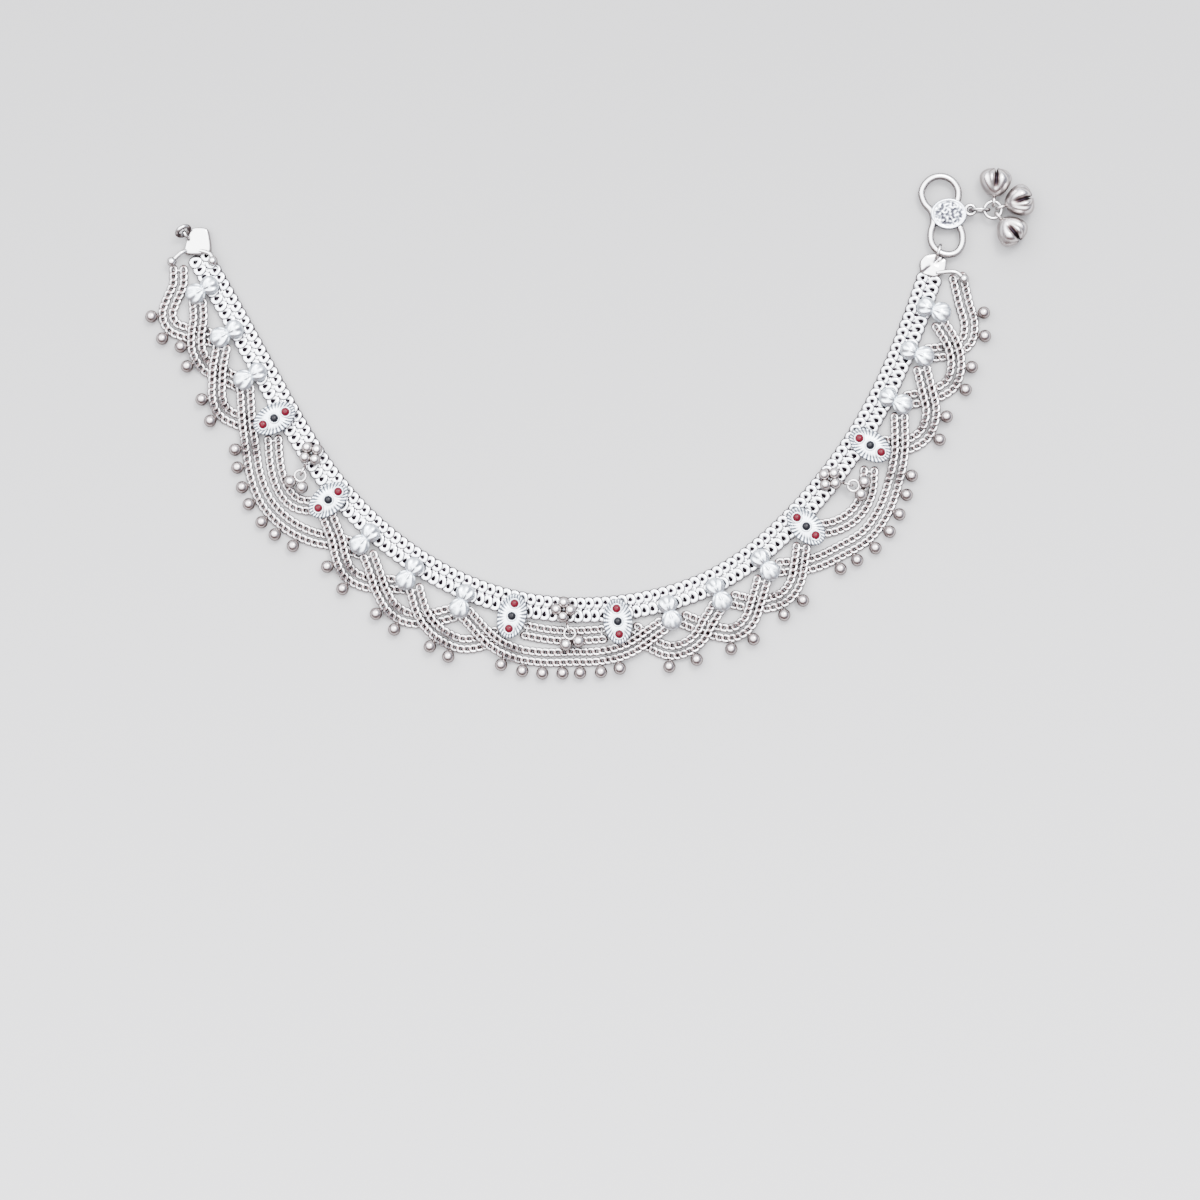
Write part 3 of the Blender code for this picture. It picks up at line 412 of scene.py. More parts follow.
# Slopes between which the painted shade on the sides grows
print("slopes for the painted shade:", UNSHADED_SLOPE, "to", SHADED_SLOPE)

# %% [markdown]
# ## The line of the band
# Everything hangs on the band, so its line comes first. It is known by its heading at eleven evenly
# spaced places. Adding up short steps along those headings gives a smooth line of the exact length.
# A drawn Bezier curve could look the same, but its length would have to be fitted by trial.

# %% Headings to a line
BAND_LENGTH = 241.7 * MM
BAND_HEADINGS = (-58.9, -61.4, -58.2, -42.7, -23.8, -2.7, 16.0, 40.2, 53.2, 65.4, 72.2)
# The line runs on past both ends of the band by this share of its length
LINE_EXCESS = 0.08
# Shares of the band's length at station 0 and from each station to the next
STATION_START = 0.029
STATION_STEP = 0.0471


def smooth_rows(rows, place):
    """Catmull-Rom value at a place from 0 to 1 through evenly spaced rows."""
    rows = np.asarray(rows, float)
    last = len(rows) - 1
    before = int(np.clip(math.floor(place * last), 0, last - 1))
    step = min(max(place * last - before, 0.0), 1.0)
    p1, p2 = rows[before], rows[before + 1]
    p0 = rows[before - 1] if before > 0 else 2 * p1 - p2
    p3 = rows[before + 2] if before + 2 <= last else 2 * p2 - p1
    return 0.5 * (2 * p1 + (p2 - p0) * step + (2 * p0 - 5 * p1 + 4 * p2 - p3) * step ** 2
                  + (3 * p1 - p0 - 3 * p2 + p3) * step ** 3)


SHARES = np.linspace(-LINE_EXCESS, 1 + LINE_EXCESS, 1161)
HEADINGS = np.radians([smooth_rows(BAND_HEADINGS, share) for share in SHARES])
WAYS = np.stack([np.cos(HEADINGS), np.sin(HEADINGS)], 1)
STEPS = (WAYS[1:] + WAYS[:-1]) / 2 * np.diff(SHARES)[:, None] * BAND_LENGTH
LINE = np.vstack([[0.0, 0.0], np.cumsum(STEPS, axis=0)])
LINE -= LINE[np.argmin(abs(SHARES - 0.5))]


def band_frame(share):
    """Point on the band's line, direction ahead, and direction outward."""
    point = np.array([np.interp(share, SHARES, LINE[:, axis]) for axis in range(2)])
    heading = np.interp(share, SHARES, HEADINGS)
    ahead = np.array([math.cos(heading), math.sin(heading)])
    return point, ahead, np.array([ahead[1], -ahead[0]])


def station_matrix(station):
    """Frame on the ground below a station: X ahead, Y inward."""
    point, ahead, outward = band_frame(STATION_START + STATION_STEP * station)
    return Matrix(((ahead[0], -outward[0], 0, point[0]), (ahead[1], -outward[1], 0, point[1]),
                   (0, 0, 1, 0), (0, 0, 0, 1)))


line_length = np.linalg.norm(STEPS, axis=1).sum() / (1 + 2 * LINE_EXCESS)
print("band line", round(line_length / MM, 1), "mm long")

# %% [markdown]
# ## One tree for every link
# The band and the chains are both made of oval links of wire. In the band they are fat and pressed flat,
# and lie like shingles, while the chains' links are round and twisted. Geometry Nodes bend a circle into
# the oval, sweep the wire round it, flatten and tilt it, and repeat it along every path at its pitch. An
# array modifier with a curve could repeat a link too, but it would bend each one where the path turns.


# %% Tree for links
def link_tree():
    """Oval links along the input's paths, with named sizes."""
    sizes = ("Pitch", "Half Length", "Half Width", "Wire", "Flatness", "Tilt", "Twist", "Tear", "Flip",
             "Dark Level", "End Shade")
    tree, size, end = new_group(
        "links", "GeometryNodeTree",
        [("Geometry", "Geometry"), *((name, "Float") for name in sizes), ("Turns", "Int"), ("Sides", "Int"),
         ("Material", "Material")], [("Geometry", "Geometry")])

    def node(kind, inputs, **settings):
        return add_node(tree, "GeometryNode" + kind, inputs, **settings)[0]

    def times(first, second):
        return calc(tree, "MULTIPLY", first, second)

    def split(kind="GeometryNodeInputPosition"):
        return add_node(tree, "ShaderNodeSeparateXYZ", {0: add_node(tree, kind)[0]})

    def round_curve(points, radius):
        return node("CurvePrimitiveCircle", {"Resolution": points, "Radius": radius})

    def moved(geometry, x, y, z):
        place = add_node(tree, "ShaderNodeCombineXYZ", {0: x, 1: y, 2: z})[0]
        return node("SetPosition", {"Geometry": geometry, "Position": place})

    # A circle becomes an oval, narrower to one side and twisted about its length
    circle_x, circle_y, _ = split()
    narrow = calc(tree, "SUBTRACT", 1.0, times(circle_y, size["Tear"]))
    side = times(circle_y, size["Half Width"])
    twist = times(circle_x, size["Twist"])
    oval = moved(round_curve(size["Turns"], 1.0), times(times(circle_x, size["Half Length"]), narrow),
                 times(side, calc(tree, "COSINE", twist)), times(side, calc(tree, "SINE", twist)))
    wire = round_curve(size["Sides"], size["Wire"])
    link = node("CurveToMesh", {"Curve": oval, "Profile Curve": wire})
    x, y, z = split()
    link = moved(link, x, y, calc(tree, "MULTIPLY_ADD", x, size["Tilt"], times(z, size["Flatness"])))
    # Painted shade: sides, low parts and the ends that sit inside the neighbouring links are darker
    shaded_side = fade(tree, split("GeometryNodeInputNormal")[2], UNSHADED_SLOPE, SHADED_SLOPE)
    x, y, z = split()
    bright_level = calc(tree, "ADD", size["Dark Level"], 1.2)
    shaded_low = fade(tree, calc(tree, "DIVIDE", z, size["Wire"]), bright_level, size["Dark Level"])
    reach = calc(tree, "DIVIDE", calc(tree, "ABSOLUTE", x), size["Half Length"])
    shaded_end = fade(tree, reach, 0.55, 1.0, size["End Shade"])
    shade_tarnish_value = calc(tree, "MAXIMUM", shaded_side, calc(tree, "MAXIMUM", shaded_low, shaded_end))
    link = node("StoreNamedAttribute", {"Geometry": link, "Name": "shade_and_tarnish", "Value": shade_tarnish_value}, data_type="FLOAT")
    link = moved(link, x, times(y, size["Flip"]), times(z, size["Flip"]))
    link = node("SetShadeSmooth", {0: link})
    # X runs along the path, and Z stays up
    tangent = node("InputTangent", {})
    turn = add_node(tree, "FunctionNodeAlignRotationToVector", {"Vector": tangent}, axis="X")[0]
    turn = add_node(tree, "FunctionNodeAlignRotationToVector", {"Rotation": turn, "Vector": tuple(UP)},
                    axis="Z", pivot_axis="X")[0]
    curve = node("MeshToCurve", {0: size["Geometry"]})
    points = node("ResampleCurve", {"Curve": curve, "Length": size["Pitch"]}, mode="LENGTH")
    links = node("InstanceOnPoints", {"Points": points, "Instance": link, "Rotation": turn})
    links = node("RealizeInstances", {0: links})
    feed(tree, end, {0: node("SetMaterial", {"Geometry": links, "Material": size["Material"]})})
    return tree


LINKS = link_tree()
print("tree", LINKS.name, "with", len(LINKS.nodes), "nodes")


# %% Grow links and join them to a piece
def grow_links(paths, sizes):
    """Runs the tree along paths of points, and keeps the links as a plain mesh."""
    points = []
    edges = []
    for path in paths:
        edges += [(len(points) + step, len(points) + step + 1) for step in range(len(path) - 1)]
        points += [tuple(point) for point in path]
    mesh = bpy.data.meshes.new("path")
    mesh.from_pydata(points, edges, [])
    path = new_object("path", mesh)
    modifier = path.modifiers.new("grow", "NODES")
    modifier.node_group = LINKS
    for item in LINKS.interface.items_tree:
        if item.in_out == "INPUT" and item.name in sizes:
            modifier[item.identifier] = sizes[item.name]
    depsgraph = bpy.context.evaluated_depsgraph_get()
    links = new_object("links", bpy.data.meshes.new_from_object(path.evaluated_get(depsgraph)))
    bpy.data.objects.remove(path, do_unlink=True)
    return links


def join_to(piece, others):
    """Joins grown meshes to the piece that they belong to."""
    with bpy.context.temp_override(active_object=piece, selected_editable_objects=[piece] + others,
                                   selected_objects=[piece] + others):
        bpy.ops.object.join()


# %% [markdown]
# ## The woven band
# The band is a flat weave of two columns of fat links, with the same weave on its underside. Each link
# lies over the end of the next, so a small tear-shaped hole is left in its middle, and smaller ones
# between the columns. Their round arms give the band its scalloped edges. A dark strip between the two
# layers is painted shade that darkens the holes. A bump pattern on a bar would leave the edges straight,
# and its holes would catch no shadow.

# %% Weave the band
# Dark Level and End Shade set the painted shade on the low parts and ends of the links
BAND_LINK = {"Pitch": 1.87 * MM, "Flatness": 0.44, "Tilt": 0.17, "Twist": 0.0, "Tear": 0.24,
             "Dark Level": -1.15, "End Shade": 0.0, "Sides": 6, "Material": SILVER["band"]}
BAND_MIDDLE = 0.8 * MM
LAYER_RISE = 0.37 * MM
# Columns of links: how far outward they run, half width, half length, wire, all in mm, points round a
# link, and a start in pitches. The third column is of small links that fill the middle
COLUMNS = ((-1.52, 0.89, 0.84, 0.60, 12, 0.0), (1.34, 1.05, 0.84, 0.60, 12, 0.0),
           (-0.20, 0.34, 0.46, 0.34, 8, 0.5))
# The strip of painted shade between the layers: half its width and half its thickness
SHADE_STRIP_HALF_WIDTH = 2.45 * MM
SHADE_STRIP_HALF_HEIGHT = 0.14 * MM
# Where the links and the strip begin and end, as shares of the band's length
WEAVE_START, WEAVE_END, SHADE_STRIP_END = 0.003, 0.996, 0.997


def band_path(out, level, first=WEAVE_START, last=WEAVE_END, count=160):
    """Path beside the band's line, at one level."""
    rows = []
    for share in np.linspace(first, last, count):
        point, _, outward = band_frame(share)
        rows.append((*(point + outward * out), level))
    return rows


woven = []
for out, half_width, half_length, wire, turns, start in COLUMNS:
    first = WEAVE_START + BAND_LINK["Pitch"] * start / BAND_LENGTH
    for flip in (1.0, -1.0):
        path = band_path(out * MM, BAND_MIDDLE + LAYER_RISE * flip, first)
        sizes = {"Half Width": half_width * MM, "Half Length": half_length * MM, "Wire": wire * MM,
                 "Flip": flip, "Turns": turns}
        woven.append(grow_links([path], {**BAND_LINK, **sizes}))
# Painted shade: a dark strip between the layers, seen through the holes of the weave
shade_strip = Casting()
edges = [band_path(side * SHADE_STRIP_HALF_WIDTH, BAND_MIDDLE + rise * SHADE_STRIP_HALF_HEIGHT, last=SHADE_STRIP_END, count=140)
         for side, rise in ((-1, -1), (1, -1), (1, 1), (-1, 1))]
shade_strip.grid(np.swapaxes(edges, 0, 1), shade_and_tarnish=1.0)
band_weave = shade_strip.piece("band_weave", "band", [SILVER["band"]])
join_to(band_weave, woven)
print("band:", len(band_weave.data.polygons), "faces,", [round(c / MM, 2) for c in band_weave.dimensions], "mm")

# %% [markdown]
# ## Chain swags
# Each swag is two strands of curb chain. A curb link is an oval ring of wire with a twist, so that the
# chain lies flat: at one end its left side is up, at the other its right side, and each link passes
# over and under its neighbours. A link's ends sit inside them and are painted dark there, partly as
# tarnish and partly as painted shade. The same tree twists one ring and repeats it along every strand.
# A helix of wire would be quicker, but it would not interlock. The route of every swag is a few chosen
# points, given in stations along the band and millimetres out from it.

# %% Routes of the swags
# Levels at both ends (an end marked high rides over a neighbouring swag), places of the balls as shares
# of the outer strand, and the route
SWAGS = (
    (("low", "low"), (0.46, 0.59),
     ((-0.59, 5.6), (-0.34, 7.4), (-0.15, 10.3), (0.06, 12.8), (0.34, 13.1), (0.61, 10.6), (0.93, 6.4))),
    (("high", "low"), (0.42, 0.56),
     ((0.19, 5.6), (0.47, 7.2), (0.72, 9.3), (1.02, 10.9), (1.36, 10.8), (1.63, 8.8), (1.93, 6.4))),
    (("high", "low"), (0.51, 0.67),
     ((1.21, 5.9), (1.49, 8.5), (1.74, 10.3), (2.02, 12.0), (2.31, 12.4), (2.57, 10.6), (2.79, 8.4))),
    (("high", "low"), (0.26, 0.34, 0.42, 0.49, 0.57, 0.64, 0.72),
     ((2.14, 5.6), (2.65, 8.4), (3.16, 10.9), (3.67, 13.4), (4.16, 14.6), (4.67, 13.7), (5.12, 11.2),
      (5.52, 7.6), (5.88, 5.8))),
    (("low", "low"), (),
     ((3.27, 5.8), (3.6, 7.8), (3.9, 9.2), (4.2, 9.9), (4.48, 9.2), (4.72, 6.6))),
    (("high", "low"), (0.4, 0.55),
     ((5.02, 5.5), (5.44, 7.6), (5.71, 9.8), (6.01, 11.4), (6.33, 10.6), (6.62, 8.2), (6.92, 6.0))),
    (("high", "low"), (0.43, 0.57),
     ((6.1, 5.6), (6.36, 7.5), (6.64, 10.0), (6.96, 11.9), (7.28, 11.9), (7.62, 9.6), (7.93, 6.5))),
    (("high", "low"), (0.46, 0.61),
     ((7.14, 5.7), (7.43, 9.2), (7.69, 11.2), (7.98, 12.2), (8.28, 12.2), (8.55, 10.6), (8.8, 8.2))),
    (("high", "high"), (0.25, 0.335, 0.42, 0.505, 0.59, 0.675, 0.755),
     ((8.19, 5.7), (8.73, 9.4), (9.17, 11.0), (9.66, 11.1), (10.15, 10.6), (10.64, 10.5), (11.17, 9.3),
      (11.81, 5.7))),
    (("low", "low"), (),
     ((9.32, 5.6), (9.62, 5.8), (9.92, 5.9), (10.21, 5.8), (10.45, 5.7), (10.7, 5.6))),
    (("low", "high"), (0.38, 0.56),
     ((11.32, 5.7), (11.6, 9.4), (11.87, 11.6), (12.17, 11.6), (12.42, 10.2), (12.61, 8.0), (12.86, 5.7))),
    (("low", "high"), (0.42, 0.55),
     ((12.26, 5.8), (12.66, 10.2), (12.95, 12.4), (13.25, 11.6), (13.52, 8.7), (13.8, 5.7))),
    (("low", "high"), (0.42, 0.57),
     ((13.22, 6.0), (13.46, 8.8), (13.72, 10.8), (13.99, 11.5), (14.27, 10.4), (14.5, 8.2), (14.75, 5.7))),
    (("low", "high"), (0.25, 0.335, 0.42, 0.5, 0.58, 0.665, 0.75),
     ((14.23, 5.8), (14.69, 9.9), (15.2, 12.4), (15.73, 14.4), (16.26, 14.0), (16.79, 12.0), (17.3, 9.4),
      (17.83, 5.7))),
    (("low", "low"), (),
     ((15.27, 5.9), (15.5, 7.9), (15.78, 9.2), (16.08, 9.4), (16.38, 8.4), (16.68, 6.2))),
    (("low", "high"), (0.42, 0.58),
     ((17.26, 5.9), (17.48, 10.3), (17.81, 12.4), (18.2, 11.4), (18.51, 8.6), (18.83, 5.7))),
    (("low", "high"), (0.44, 0.59),
     ((18.22, 5.8), (18.49, 10.0), (18.81, 12.8), (19.19, 12.2), (19.51, 9.7), (19.77, 5.8))),
    (("low", "low"), (0.46, 0.62),
     ((19.19, 5.7), (19.38, 9.6), (19.66, 12.5), (20.0, 11.8), (20.32, 9.2), (20.74, 6.2))),
)
PAIR_SPACING = 2.3 * MM
LOW_LEVEL = 0.6 * MM
HIGH_LEVEL = 1.8 * MM
HIGH_RUN = 11.6 * MM
HIGH_FADE = 3.7 * MM
ROUTE_POINTS = 240
STRAND_POINTS = 121


def strand_height(distances, levels):
    """Height of a strand from the distances to its ends: high over a neighbour, low between."""
    height = LOW_LEVEL
    for level, distance in zip(levels, distances):
        if level == "high":
            fall = min(max((distance - HIGH_RUN) / HIGH_FADE, 0.0), 1.0)
            fall = fall * fall * (3 - 2 * fall)
            height = max(height, HIGH_LEVEL + (LOW_LEVEL - HIGH_LEVEL) * fall)
    return height


def swag_strands(levels, route):
    """Outer and inner strand of a swag, as evenly spaced points."""
    rows = []
    for station, out in route:
        point, _, outward = band_frame(STATION_START + STATION_STEP * station)
        rows.append(point + outward * out * MM)
    fine = np.array([smooth_rows(rows, place) for place in np.linspace(0, 1, ROUTE_POINTS)])
    runs = np.concatenate(([0.0], np.cumsum(np.linalg.norm(np.diff(fine, axis=0), axis=1))))
    even = np.linspace(0, runs[-1], STRAND_POINTS)
    centre = np.stack([np.interp(even, runs, fine[:, axis]) for axis in range(2)], 1)
    ahead = np.gradient(centre, axis=0)
    ahead /= np.linalg.norm(ahead, axis=1)[:, None]
    outward = np.stack([ahead[:, 1], -ahead[:, 0]], 1) * PAIR_SPACING / 2
    heights = [strand_height((run, runs[-1] - run), levels) for run in even]
    return np.column_stack([centre + outward, heights]), np.column_stack([centre - outward, heights])


print(len(SWAGS), "swags and", sum(len(shares) for _, shares, _ in SWAGS), "balls")

# %% Size of a curb link
# Dark Level and End Shade set the painted shade on the low parts and ends of the links
CURB_LINK = {"Pitch": 1.42 * MM, "Half Length": 0.98 * MM, "Half Width": 0.68 * MM, "Wire": 0.38 * MM,
             "Flatness": 1.0, "Tilt": 0.0, "Twist": math.radians(18.0), "Tear": 0.0, "Flip": 1.0,
             "Dark Level": -0.5, "End Shade": 0.85, "Turns": 12, "Sides": 6, "Material": SILVER["chains"]}
print("curb link", round(2 * (CURB_LINK["Half Length"] + CURB_LINK["Wire"]) / MM, 2), "mm long")

# %% [markdown]
# ## Balls on the swags
# A row of plain balls hangs from each outer strand. Each has a short neck with a collar where it is
# soldered to a link. They are joined to their swag, because solder makes them one piece with it.

# %% Hang the swags
BALL_RADIUS = 1.43 * MM
BALL_REACH = 2.4 * MM
# Neck from the link to the ball: share of the reach, radius in mm
NECK = ((0.25, 0.30), (0.42, 0.30), (0.48, 0.52), (0.54, 0.52), (0.60, 0.40))
END_BAR_WIRE = 0.3 * MM


def necked_ball(casting, start, end):
    """Ball with a collar and a short neck from a link."""
    casting.ball(end, BALL_RADIUS, finish=1)
    away = (end - start) / np.linalg.norm(end - start) * BALL_REACH
    shares, radii = np.array(NECK).T
    casting.wire(start + away * shares[:, None], radii * MM, sides=10, finish=1)


for number, (levels, shares, route) in enumerate(SWAGS, start=1):
    outer, inner = swag_strands(levels, route)
    balls = Casting()
    for share in shares:
        place = share * (len(outer) - 1)
        before = int(place)
        start = outer[before] + (outer[before + 1] - outer[before]) * (place - before)
        ahead = outer[before + 1] - outer[before - 1]
        side = np.array([ahead[1], -ahead[0], 0.0])
        end = start + side / np.linalg.norm(side) * BALL_REACH
        end[2] = max(BALL_RADIUS, start[2])
        necked_ball(balls, start, end)
    for last in (0, -1):
        balls.wire([inner[last], (outer[last] + inner[last]) / 2, outer[last]], END_BAR_WIRE, sides=8)
    node = f"swag_{number:02d}"
    swag = balls.piece(node + "_chain", node, [SILVER["chains"], SILVER["balls"]])
    join_to(swag, [grow_links([outer, inner], CURB_LINK)])

# %% [markdown]
# ## Shell leaves
# Each leaf is cast as two ridged shells, one on the band and one beside it. Ridges fan out from the
# end of each shell. The height is worked out point by point: a dome, plus a wave round the fan. Carving
# the ridges with modifiers would take a cutter for each one.

# %% Stations of the ornaments
STATION_KINDS = ("leaf leaf leaf oval flower oval " * 3 + "leaf leaf leaf").split()
STATION_PLACES = (0.0, 1.0, 1.96, 2.92, 3.88, 4.81, 5.82, 6.90, 8.02, 9.0, 9.97,
                  11.02, 12.02, 13.0, 14.03, 15.10, 16.10, 17.09, 18.08, 19.09, 20.0)


def stations(kind):
    """Number and place of each ornament of one kind, in order."""
    return enumerate([place for place, found in zip(STATION_PLACES, STATION_KINDS) if found == kind], start=1)


print("ornaments:", {kind: STATION_KINDS.count(kind) for kind in ("leaf", "oval", "flower")})

# %% Cast the leaves
FOOT_BOTTOM = 1.9 * MM
ORNAMENT_BOTTOM = 2.5 * MM
LEAF_TOP = 3.9 * MM
RIDGE_RISE = 0.36 * MM
SHELL_SIDE = 0.3 * MM
# The fan of ridges: where it starts, in half lengths from the shell's middle, and its waves per radian
FAN_START = 1.25
FAN_WAVES = 6.5
# Rows of a shell from its foot, as shares of its size; the first two make its side
SHELL_SHARES = (0.94, 1.0, 0.97, 0.90, 0.80, 0.68, 0.54, 0.38, 0.20)


def shell(casting, half_x, half_y, out, bottom, hinge):
    """Ridged oval shell; hinge is +1 where its ridges fan out from its inner end, -1 from its outer."""
    def spot(row, turn):
        share = SHELL_SHARES[row]
        x, y = share * math.cos(turn), share * math.sin(turn)
        # Painted shade: the shell's side and the valleys between its ridges are darker
        level, shade_and_tarnish = bottom + SHELL_SIDE * row, 0.7
        if row > 1:
            ridge = abs(math.cos(math.atan2(x, FAN_START - y * hinge) * FAN_WAVES))
            dome = math.sqrt(1.0 - share ** 2)
            level = bottom + (LEAF_TOP - bottom) * (0.30 + 0.62 * dome) + RIDGE_RISE * (ridge - 0.7)
            shade_and_tarnish = 0.50 - 0.75 * ridge
        return (half_x * x, half_y * y - out, level), shade_and_tarnish

    casting.shape(range(len(SHELL_SHARES)), circle(48), spot, 0.8)


for number, place in stations("leaf"):
    leaf = Casting(side_shade=0.48)
    shell(leaf, 2.25 * MM, 2.1 * MM, 1.25 * MM, FOOT_BOTTOM, -1)
    shell(leaf, 2.35 * MM, 2.25 * MM, 4.9 * MM, ORNAMENT_BOTTOM, 1)
    node = f"leaf_{number:02d}"
    leaf.piece(node + "_shells", node, [SILVER["cast"]], station_matrix(place))
print("leaves:", number)

# %% [markdown]
# ## Oval plates and their stones
# The plates are stamped ovals with fine cuts round the edge and a low beaded rim, and three domed
# stones in thin collars: red, black, red. A polar grid gives rings and cuts at once, since every cut
# runs to the centre. The stones sit in the collars as separate domes with their own finish.

# %% Stamp the plates
PLATE_OUT = 3.0 * MM
PLATE_HALF_LENGTH = 5.15 * MM
PLATE_HALF_WIDTH = 3.3 * MM
PLATE_TOP = 3.4 * MM
STONE_SPACING = 2.9 * MM
STONE_RADIUS = 0.92 * MM
STONE_RISE = 0.68 * MM
# Collar: its rise above the plate, its distance outside the stone, and its wire
COLLAR_RISE, COLLAR_GAP, COLLAR_WIRE = 0.12 * MM, 0.16 * MM, 0.20 * MM
# Profile of a plate from its edge in: share of its size, height above the top and depth of the cuts in mm
PLATE_PROFILE = (
    (0.93, -0.90, 0.0), (0.985, -0.85, 0.0), (1.0, -0.45, 0.10), (0.985, -0.12, 0.20), (0.95, 0.04, 0.28),
    (0.90, 0.06, 0.30), (0.84, -0.04, 0.28), (0.76, -0.10, 0.24), (0.68, -0.06, 0.20), (0.60, -0.02, 0.10),
    (0.48, 0.0, 0.0), (0.25, 0.02, 0.0),
)
CUTS = 30


def plate_spot(row, turn):
    """Place, and painted shade and tarnish, of one spot of a plate."""
    share, height, cut = row
    groove = (0.5 + 0.5 * math.cos(turn * CUTS)) ** 2
    place = (PLATE_HALF_WIDTH * share * math.cos(turn),
             PLATE_HALF_LENGTH * share * math.sin(turn) - PLATE_OUT,
             PLATE_TOP + (height - cut * groove) * MM)
    # Painted shade: darker in the cuts round the edge and on the low outer edge
    return place, 0.85 * groove * min(cut / 0.2, 1.0) + (0.55 if height < -0.4 else 0.0)


def set_stone(casting, out, finish):
    """Domed stone in a thin silver collar."""
    def spot(angle, turn):
        radius = STONE_RADIUS * math.cos(angle)
        rise = STONE_RISE * math.sin(angle)
        return (radius * math.cos(turn), radius * math.sin(turn) - out, PLATE_TOP + rise), 0.0

    casting.ring((0.0, -out, PLATE_TOP + COLLAR_RISE), UP, STONE_RADIUS + COLLAR_GAP, COLLAR_WIRE, 24, 8)
    casting.shape(np.radians((0.0, 22.0, 44.0, 64.0, 80.0)), circle(20), spot, finish=finish)


for number, place in stations("oval"):
    plate = Casting(side_shade=0.6)
    plate.shape(PLATE_PROFILE, circle(CUTS * 6), plate_spot)
    for row, finish in ((-1, 1), (0, 2), (1, 1)):
        set_stone(plate, PLATE_OUT + row * STONE_SPACING, finish)
    node = f"oval_plate_{number}"
    plate.piece(node + "_stamped", node, [SILVER["cast"], RED_STONE, BLACK_STONE], station_matrix(place))
print("plates:", number)

# %% [markdown]
# ## Ball flowers and their drops
# Between the plates sits a flower of four balls, with a wire eye and a small ring of drops that lies
# over the chains. They are cast plain, so the castings' own balls and rings are enough.

# %% Flowers and drops
PETAL_OUT = 1.6 * MM
PETAL_RADIUS = 1.3 * MM
PETAL_LEVEL = FOOT_BOTTOM + 1.15 * MM
DROP_LEVEL = 2.55 * MM
DROP_WIRE = 0.3 * MM
# The stem from the flower to its eye, and the eye
STEM = (0.5 * MM, 2 * MM, 3.4 * MM)
EYE_OUT = 4.3 * MM
EYE_RADIUS = 0.95 * MM
DROP_TURNS = (31.0, 18.0, 23.0)
DROP_RING = 1.25 * MM
DROP_SPREAD = 34.0
DROP_BALL_REACH = 2.634 * MM
for (number, place), turn in zip(stations("flower"), DROP_TURNS):
    lean = math.radians(turn - 90.0)
    away = Vector((math.cos(lean), math.sin(lean), 0.0))
    level = UP * DROP_LEVEL
    flower = Casting()
    for angle in circle(4):
        flower.ball((PETAL_OUT * math.cos(angle), PETAL_OUT * math.sin(angle), PETAL_LEVEL), PETAL_RADIUS)
    flower.wire([away * out + level for out in STEM], DROP_WIRE)
    flower.ring(away * EYE_OUT + level, away.cross(UP), EYE_RADIUS, DROP_WIRE, 24, 10)
    flower.piece(f"flower_{number}_balls", f"flower_{number}", [SILVER["bells"]], station_matrix(place))
    drop = Casting()
    centre = away * (EYE_OUT + DROP_RING) + level
    drop.ring(centre, UP, DROP_RING, DROP_WIRE, 24, 10)
    for side in (-1, 1):
        toward_ball = Matrix.Rotation(math.radians(DROP_SPREAD) * side, 3, "Z") @ away
        drop.ball(centre + toward_ball * DROP_BALL_REACH, BALL_RADIUS)
    drop.piece(f"flower_drop_{number}_balls", f"flower_drop_{number}", [SILVER["bells"]], station_matrix(place))
print("flowers:", number)

# %% [markdown]
# ## End caps
# A plain plate like a rounded square closes each end of the band, with a wire eye beyond it and a bar
# that carries the first swag. Its corners are few, and cutting them off again and again rounds them.
# Rows of its outline, each a little smaller and higher, then round its edge. The plates are the brightest
# spots of the anklet because they are flat and face the sky.

# %% Plates, eyes and bars
CAP_TOP = 2.2 * MM
# Corners of each plate: ahead of the band's end and outward, in mm, and the shares cut off at them
LEFT_PLATE = ((6.5, -1.8), (4.4, -5.2), (-1.2, -2.8), (2.1, 3.1))
RIGHT_PLATE = ((4.1, -2.6), (5.2, -0.4), (4.7, 2.5), (1.7, 3.0), (-0.2, 0.96), (-0.2, -2.3), (2.3, -3.3))
CORNER_CUTS = (0.13, 0.25, 0.25, 0.25)
# Rows of a plate from its foot: share of the outline, share of the height. From the first that is as
# high as CAP_FLAT on they make its top, where the right plate has a crease
CAP_PROFILE = ((0.94, 0.0), (1.0, 0.1), (1.0, 0.72), (0.98, 0.88), (0.93, 0.97), (0.85, 1.0), (0.55, 1.015),
               (0.25, 1.02))
CAP_FLAT = 0.8
CREASE_DEPTH = 0.40 * MM
CREASE_HALF_WIDTH = 0.9 * MM
CREASE_SLANT = 0.6
CAP_EYE_AHEAD, CAP_EYE_RADIUS, CAP_EYE_WIRE = 5.75 * MM, 1.5 * MM, 0.35 * MM
HOOK_LEVEL = 2.1 * MM
# Bars: ahead of the band's end, outward, and up from their level, in mm
LEFT_BAR = ((-2.7, -2.2, 0.7), (-1.0, -2.5, 0.2), (1.0, -0.8, -0.6), (2.2, 1.2, -0.8), (2.6, 3.0, 0.0),
            (2.0, 5.8, 0.0))
RIGHT_BAR = ((1.0, 1.0, -0.6), (1.7, 2.6, -0.2), (2.3, 4.2, 0.0), (2.4, 5.6, 0.0), (1.6, 7.4, 0.0))
BAR_LEVEL, BAR_WIRE, BAR_BALL = 2.4 * MM, 0.5 * MM, 1.1 * MM


